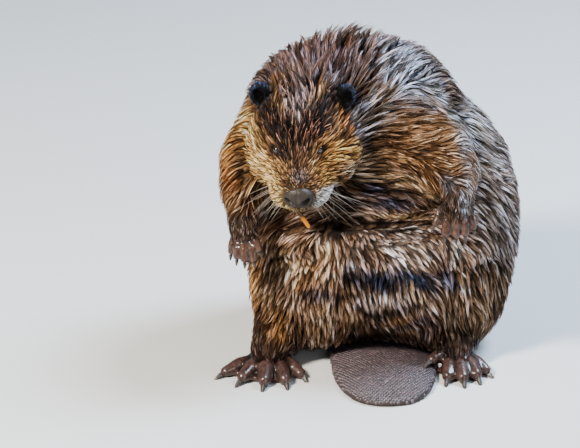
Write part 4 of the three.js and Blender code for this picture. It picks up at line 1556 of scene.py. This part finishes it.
def finished_piece(name, shape, material, slot, *nodes):
    """Makes an object of a bmesh, smooth shaded, riding on the body and standing for these nodes."""
    bmesh.ops.remove_doubles(shape, verts=shape.verts, dist=0.01 * MM)
    bmesh.ops.recalc_face_normals(shape, faces=shape.faces)
    mesh = bpy.data.meshes.new(name)
    shape.to_mesh(mesh)
    shape.free()
    mesh.shade_smooth()
    mesh.materials.append(material)
    piece = add_object(name, mesh)
    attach(piece, "root")
    if nodes:
        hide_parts(*nodes)
    print(name, "with", len(mesh.polygons), "faces")
    return piece


def glossy_eye():
    bead = Finish("eye_gloss", Roughness=0.06, IOR=1.4, Coat_Weight=1.0, Coat_Roughness=0.03)
    bead.paint(bead.mixed(bead.grain(2.5, 2), (0.006, 0.004, 0.003), (0.018, 0.010, 0.006)))
    return bead.material


def lid_skin():
    lid = Finish("lid_skin", IOR=1.4, Specular_IOR_Level=0.25)
    fine = lid.grain(0.6, 3)
    lid.paint(lid.mixed(fine, (0.008, 0.006, 0.005), (0.024, 0.017, 0.014)))
    lid.shine(0.3 + 0.2 * fine)
    lid.bumped(fine, 0.3, 0.6)
    return lid.material


# %% Eyes
EYE_LOOKS = {side: Vector((0.70 * s, -0.40, 0.52)).normalized() for side, s in SIDES.items()}
# These are in millimetres.
EYE_RADIUS = 5.3
EYE_SUNK = 2.6  # the ball's middle lies this far under the skin
LID_RADIUS = 4.3
LID_HEIGHT = 2.9  # above the ball's middle
LID_THICK = 1.2
LID_DROOP = 0.8  # its two corners lie back round the ball
# And these are shares of the circle: a long, low almond.
LID_LONG, LID_CORNER, LID_NARROW = 1.10, 0.16, 0.78
eye_finish, lid_finish = glossy_eye(), lid_skin()
for side, s in SIDES.items():
    look = EYE_LOOKS[side]
    socket = skin_tree.find_nearest(out_of_head(eye_middles[side]))[0]
    middle = Vector(into_head(np.array(socket))) - look * EYE_SUNK
    to_eye = HEAD_MATRIX @ Matrix.Translation(middle * MM) @ turned_to(look)
    bead = bmesh.new()
    bmesh.ops.create_uvsphere(bead, u_segments=32, v_segments=20, radius=EYE_RADIUS * MM)
    bmesh.ops.transform(bead, matrix=to_eye, verts=bead.verts)
    finished_piece("eyeball_" + side, bead, eye_finish, "eye", "eye_" + side)

    ring = bmesh.new()
    across = Matrix.Translation((LID_RADIUS * MM, 0, LID_HEIGHT * MM)) @ Matrix.Rotation(math.pi / 2, 4, "X")
    bmesh.ops.create_circle(ring, segments=10, radius=LID_THICK * MM, matrix=across)
    circle = ring.edges[:] + ring.verts[:]
    bmesh.ops.spin(ring, geom=circle, axis=(0, 0, 1), angle=math.tau, steps=32, use_merge=True)
    for corner in ring.verts:
        turn = math.atan2(corner.co.y, corner.co.x)
        corner.co.x *= LID_LONG + LID_CORNER * math.cos(turn) ** 4
        corner.co.y *= LID_NARROW
        corner.co.z -= LID_DROOP * MM * math.cos(turn) ** 4
    bmesh.ops.transform(ring, matrix=to_eye, verts=ring.verts)
    finished_piece("eyelids_" + side, ring, lid_finish, "bare_skin")

# %% [markdown]
# ## The nose pad
#
# The pad is a broad leathery button between the whisker pads. It starts as a ball pressed wide. The
# nostrils are two slanting oval dents whose rims stand up a little, their insides painted near black as
# shade, and a shallow groove runs down the middle.

# %% Nose
PEBBLE = 1.1 * MM


def leathery(name, low, high, shine, toned=False):
    """Bare wet skin: fine pebbles over slow patches."""
    skin_finish = Finish(name, IOR=1.4, Specular_IOR_Level=0.25)
    sockets = {"Vector": skin_finish.place(), "Scale": 1 / PEBBLE}
    pebbles = skin_finish.node("ShaderNodeTexVoronoi", {"feature": "F1"}, sockets)
    patches = skin_finish.grain(6, 3)
    colour = skin_finish.mixed(0.7 * patches + 0.3 * pebbles, low, high)
    if toned:
        colour = skin_finish.mixed(1.0, colour, skin_finish.marking(), "MULTIPLY")
    skin_finish.paint(colour)
    skin_finish.shine(shine + 0.25 * patches)
    skin_finish.bumped(pebbles, 0.35, 0.7)
    return skin_finish.material


NOSTRIL_OUT, NOSTRIL_UP = 10.0, 4.5  # millimetres from the pad's middle
NOSTRIL_SIZE = (4.8, 3.5)
NOSTRIL_DEPTH = 6.5
RIM_HEIGHT = 1.3
GROOVE_DEPTH, GROOVE_WIDTH = 1.2, 1.3
nose = bmesh.new()
nose_tone = nose.verts.layers.float_color.new("marking")
bmesh.ops.create_uvsphere(nose, u_segments=72, v_segments=48, radius=1)
for corner in nose.verts:
    x, y, z = (corner.co[k] * NOSE_SIZE[k] for k in range(3))
    outward = abs(x) - NOSTRIL_OUT
    lean = z - NOSTRIL_UP - 0.3 * outward
    hole = math.hypot(outward / NOSTRIL_SIZE[0], lean / NOSTRIL_SIZE[1])
    dark = math.exp(-(hole**4)) * (y < 0)
    if y < 0:
        y += NOSTRIL_DEPTH * dark - RIM_HEIGHT * math.exp(-((hole - 1.7) ** 2) * 3)
        y += GROOVE_DEPTH * math.exp(-((x / GROOVE_WIDTH) ** 2))
    corner.co = Vector((x, y, z)) * MM
    # the nostrils' insides are painted near black as shade
    corner[nose_tone] = (1 - 0.97 * dark,) * 3 + (1,)
lean_back = Matrix.Rotation(math.radians(8), 4, "X")
nose_place = HEAD_MATRIX @ Matrix.Translation(Vector(NOSE_AT) * MM) @ lean_back
bmesh.ops.transform(nose, matrix=nose_place, verts=nose.verts)
nose_finish = leathery("nose_leather", (0.005, 0.004, 0.003), (0.048, 0.037, 0.028), 0.22, toned=True)
finished_piece("nose_pad", nose, nose_finish, "bare_skin")

# %% [markdown]
# ## Whiskers
#
# Long stiff hairs spring from both whisker pads and curve down. Each is a square hair drawn out from its
# root along a curve and closed to a point. They are sown in three rows a side, as they grow.

# %% Whiskers
def drawn_out(shape, points, radius):
    """Extrudes a small square along points, thinner and thinner, and closes both ends."""
    start = Matrix.Translation(points[0]) @ turned_to((points[1] - points[0]).normalized())
    square = bmesh.ops.create_circle(shape, segments=4, radius=radius, cap_ends=True, matrix=start)
    ring = square["verts"]
    ring_edges = list({e for v in ring for e in v.link_edges})
    for k in range(1, len(points)):
        drawn = bmesh.ops.extrude_edge_only(shape, edges=ring_edges)["geom"]
        ring_edges = only(bmesh.types.BMEdge, drawn)
        ring = only(bmesh.types.BMVert, drawn)
        bmesh.ops.translate(shape, verts=ring, vec=points[k] - points[k - 1])
        shrink = (len(points) - k) / (len(points) - k + 1)
        around = Matrix.Translation(-points[k])
        bmesh.ops.scale(shape, verts=ring, vec=(shrink,) * 3, space=around)
    bmesh.ops.pointmerge(shape, verts=ring, merge_co=points[-1])


WHISKERS_A_SIDE, WHISKERS_A_ROW = 15, 5
WHISKER_RADIUS = 0.3 * MM
WHISKER_SAG = Vector((0, 0.1, -0.3))
whiskers = bmesh.new()
whisker_dice = np.random.default_rng(5)
for side, s in SIDES.items():
    for k in range(WHISKERS_A_SIDE):
        row_number, place_in_row = divmod(k, WHISKERS_A_ROW)
        root = Vector((s * (17 + 3.2 * place_in_row), -93 + 5 * place_in_row, -14 - 6 * row_number))
        go = Vector((s * (0.65 + 0.12 * place_in_row), -0.45 + 0.1 * place_in_row, -0.55 - 0.12 * row_number))
        go = (go + Vector(whisker_dice.normal(0, 0.14, 3))).normalized()
        length = (30 + 7 * place_in_row) * whisker_dice.uniform(0.75, 1.25)
        line = []
        for t in np.linspace(-0.05, 1, 9):
            line.append(HEAD_MATRIX @ ((root + go * length * t + WHISKER_SAG * length * t * t) * MM))
        drawn_out(whiskers, line, WHISKER_RADIUS)
whisker_hair = Finish("whisker_hair", IOR=1.5)
tone_along = whisker_hair.grain(9, 1)
whisker_hair.paint(whisker_hair.mixed(tone_along, (0.10, 0.07, 0.05), (0.55, 0.48, 0.40)))
whisker_hair.shine(0.3 + 0.1 * tone_along)
finished_piece("whiskers", whiskers, whisker_hair.material, "horn")

# %% [markdown]
# ## Tooth and claws
#
# The model's own solids have few faces, which shows on small bright things. So a merged copy of each is
# smoothed by a Subdivision Surface, which keeps it in the solid's place. The enamel is orange with iron,
# paler at the worn edge, and darkened towards the gum as painted shade under the lips. The claws are dark
# horn with fine growth lines.

# %% Tooth
ROUNDING_LEVELS = 2
TOOTH_SWELL = -0.5 * MM


def rounded(piece):
    rounding = piece.modifiers.new("rounding", "SUBSURF")
    rounding.levels = ROUNDING_LEVELS
    rounding.render_levels = ROUNDING_LEVELS


WORN = 4 * MM  # up from the tip
# painted shade: the enamel is darkened over this height towards the gum, as under the lips
SHADED_BY_LIPS = (13 * MM, 19 * MM)
tooth_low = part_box("incisor")[0].z
enamel = Finish("orange_enamel", IOR=1.5, Specular_IOR_Level=0.15, Coat_Weight=0.1, Coat_Roughness=0.08)
height = enamel.node("ShaderNodeSeparateXYZ", {}, {0: enamel.place()}, output=2)
smooth_step = {"interpolation_type": "SMOOTHSTEP"}
worn_range = {"Value": height, 1: tooth_low, 2: tooth_low + WORN, 3: 1.0, 4: 0.0}
worn = enamel.node("ShaderNodeMapRange", smooth_step, worn_range)
lip_shadow_range = {"Value": height, 1: tooth_low + SHADED_BY_LIPS[0], 2: tooth_low + SHADED_BY_LIPS[1]}
lip_shadow = enamel.node("ShaderNodeMapRange", smooth_step, lip_shadow_range)
streaks = enamel.grain(1.5, 3, (1, 1, 0.2))
iron = enamel.mixed(streaks, (0.50, 0.13, 0.0), (0.68, 0.23, 0.0))
iron = enamel.mixed(0.5 * worn, iron, (0.90, 0.50, 0.10))
enamel.paint(enamel.mixed(0.95 * lip_shadow, iron, (0.030, 0.012, 0.004)))
enamel.shine(0.16 + 0.14 * streaks)
enamel.bumped(streaks, 0.15, 0.5)
ROOTED = 12 * MM  # the solid stops at the lip, so its upper end is drawn on into the gum
tooth = one_copy(["incisor"], TOOTH_SWELL)
heights = sorted(tooth.verts, key=lambda corner: corner.co.z)
third = len(heights) // 3
tip, stump = (sum((v.co for v in end), Vector()) / third for end in (heights[:third], heights[-third:]))
toward_gum = (stump - tip).normalized()
for corner in tooth.verts:
    if (corner.co - (tip + stump) / 2).dot(toward_gum) > 0:
        corner.co += toward_gum * ROOTED
rounded(finished_piece("incisor_enamel", tooth, enamel.material, "enamel", "incisor"))

# %% Claws
CLAW_SWELL = 0.4 * MM  # makes up for what the rounding takes off
claw_horn = Finish("claw_horn", IOR=1.5)
growth_lines = {"Vector": claw_horn.place(), "Scale": 260.0, "Distortion": 3.0, "Detail": 2.0}
growth = claw_horn.node("ShaderNodeTexWave", {"bands_direction": "Y"}, growth_lines)
claw_horn.paint(claw_horn.mixed(growth, (0.010, 0.008, 0.007), (0.050, 0.036, 0.028)))
claw_horn.shine(0.34 + 0.2 * growth)
claw_horn.bumped(growth, 0.2, 0.5)
for limb in ("foreclaw", "hindclaw"):
    for side in SIDES:
        claws = [f"{limb}_{side}_{k}" for k in range(1, 6)]
        horn = one_copy(claws, CLAW_SWELL)
        rounded(finished_piece(f"{limb}s_{side}", horn, claw_horn.material, "horn", *claws))

# %% [markdown]
# ## The scaly tail
#
# The tail is a leathery paddle under many small plates that overlap like tiles, from root to tip. Painted
# scales would vanish at the edge of the tail, so they are solid. The paddle is wrapped in a net and
# smoothed. A plate is a low six-sided tile, and a line dropped on the paddle finds each one's place and
# slope.

# %% Tail blade
TAIL_SWELL = 0.2 * MM
TAIL_VOXEL = 2.6 * MM
TAIL_SMOOTHING = 10
TAIL_FLOOR_GAP = 0.3 * MM
tail = wrapped("tail_skin", ["tail_blade"], TAIL_SWELL, TAIL_VOXEL)
tail_corners = corners_of(tail.data)
tail_corners = smoothed(tail_corners, edges_of(tail.data), TAIL_SMOOTHING)
tail_corners[:, 2] = np.maximum(tail_corners[:, 2], TAIL_FLOOR_GAP)
tail.data.vertices.foreach_set("co", tail_corners.ravel())
tail.data.shade_smooth()
tail_tree = BVHTree.FromPolygons([Vector(c) for c in tail_corners], triangles_of(tail.data).tolist())

tail_leather = leathery("tail_leather", (0.012, 0.008, 0.007), (0.045, 0.030, 0.028), 0.3)
tail.data.materials.append(tail_leather)
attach(tail, "root")
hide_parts("tail_blade")
print("tail net:", len(tail_corners), "corners")

# %% One plate
plate = bmesh.new()
bmesh.ops.create_circle(plate, segments=6, radius=0.5, cap_ends=True)
drawn = bmesh.ops.extrude_edge_only(plate, edges=plate.edges[:])["geom"]
skirt = only(bmesh.types.BMVert, drawn)
bmesh.ops.translate(plate, verts=skirt, vec=(0, 0, -1))
bmesh.ops.scale(plate, verts=skirt, vec=(1.25, 1.2, 1))
bmesh.ops.recalc_face_normals(plate, faces=plate.faces)
plate.verts.index_update()
plate_corners = np.array([v.co for v in plate.verts])
plate_faces = faces_of(plate)
plate.free()
print("a plate has", len(plate_corners), "corners")

# %% Lay the plates
SCALE_LONG, SCALE_WIDE, SCALE_THICK = 5.0, 4.4, 0.6  # millimetres
ROW_STEP = 3.6
STEEPEST = 0.35  # the upward part of the steepest slope that carries a plate
low, high = (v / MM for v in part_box("tail_blade"))
scale_dice = np.random.default_rng(8)
plates = []
for row_number, y in enumerate(np.arange(low.y, high.y, ROW_STEP)):
    for x in np.arange(low.x + row_number % 2 * SCALE_WIDE / 2, high.x, SCALE_WIDE):
        above = Vector((x + scale_dice.normal(0, 0.25), y + scale_dice.normal(0, 0.25), 60)) * MM
        hit, slope = tail_tree.ray_cast(above, -Vector((0, 0, 1)))[:2]
        size = scale_dice.uniform(0.86, 1.08)
        tilt, turn = scale_dice.normal(-7, 3), scale_dice.normal(0, 7)
        if hit is None or slope.z < STEEPEST:
            continue  # past the paddle, or on its steep edge
        turned = Matrix.Rotation(math.radians(turn), 4, "Z") @ Matrix.Rotation(math.radians(tilt), 4, "X")
        sized = Matrix.Diagonal(Vector((SCALE_WIDE * size, SCALE_LONG * size, SCALE_THICK * 2, 1 / MM)) * MM)
        at_hit = Matrix.Translation(hit + slope * SCALE_THICK * MM)
        place = np.array(at_hit @ turned_to(slope) @ turned @ sized)
        plates.append(plate_corners @ place[:3, :3].T + place[:3, 3])
print(len(plates), "scales")

# %% Join and colour the plates
PLATE_COLOUR = np.array([0.034, 0.0215, 0.025])
scales = joined_copies("tail_scales", np.array(plates), plate_faces)
plate_tones = np.exp(scale_dice.normal(0, 0.45, len(plates)))
spots = PLATE_COLOUR * plate_tones[:, None]
spots = np.repeat(spots, len(plate_corners), axis=0)
paint_corners(scales, spots, np.ones(len(spots)))

plate_horn = Finish("tail_plates", IOR=1.5)
scuffs = plate_horn.grain(1.0, 3)
plate_horn.paint(plate_horn.mixed(0.4 * scuffs, plate_horn.marking(), (0.12, 0.095, 0.10)))
plate_horn.shine(0.22 + 0.3 * scuffs)
plate_horn.bumped(scuffs, 0.25, 0.6)
scales.materials.append(plate_horn.material)
plates_piece = add_object("tail_scales", scales)
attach(plates_piece, "root")
print("tail_scales with", len(scales.polygons), "faces")
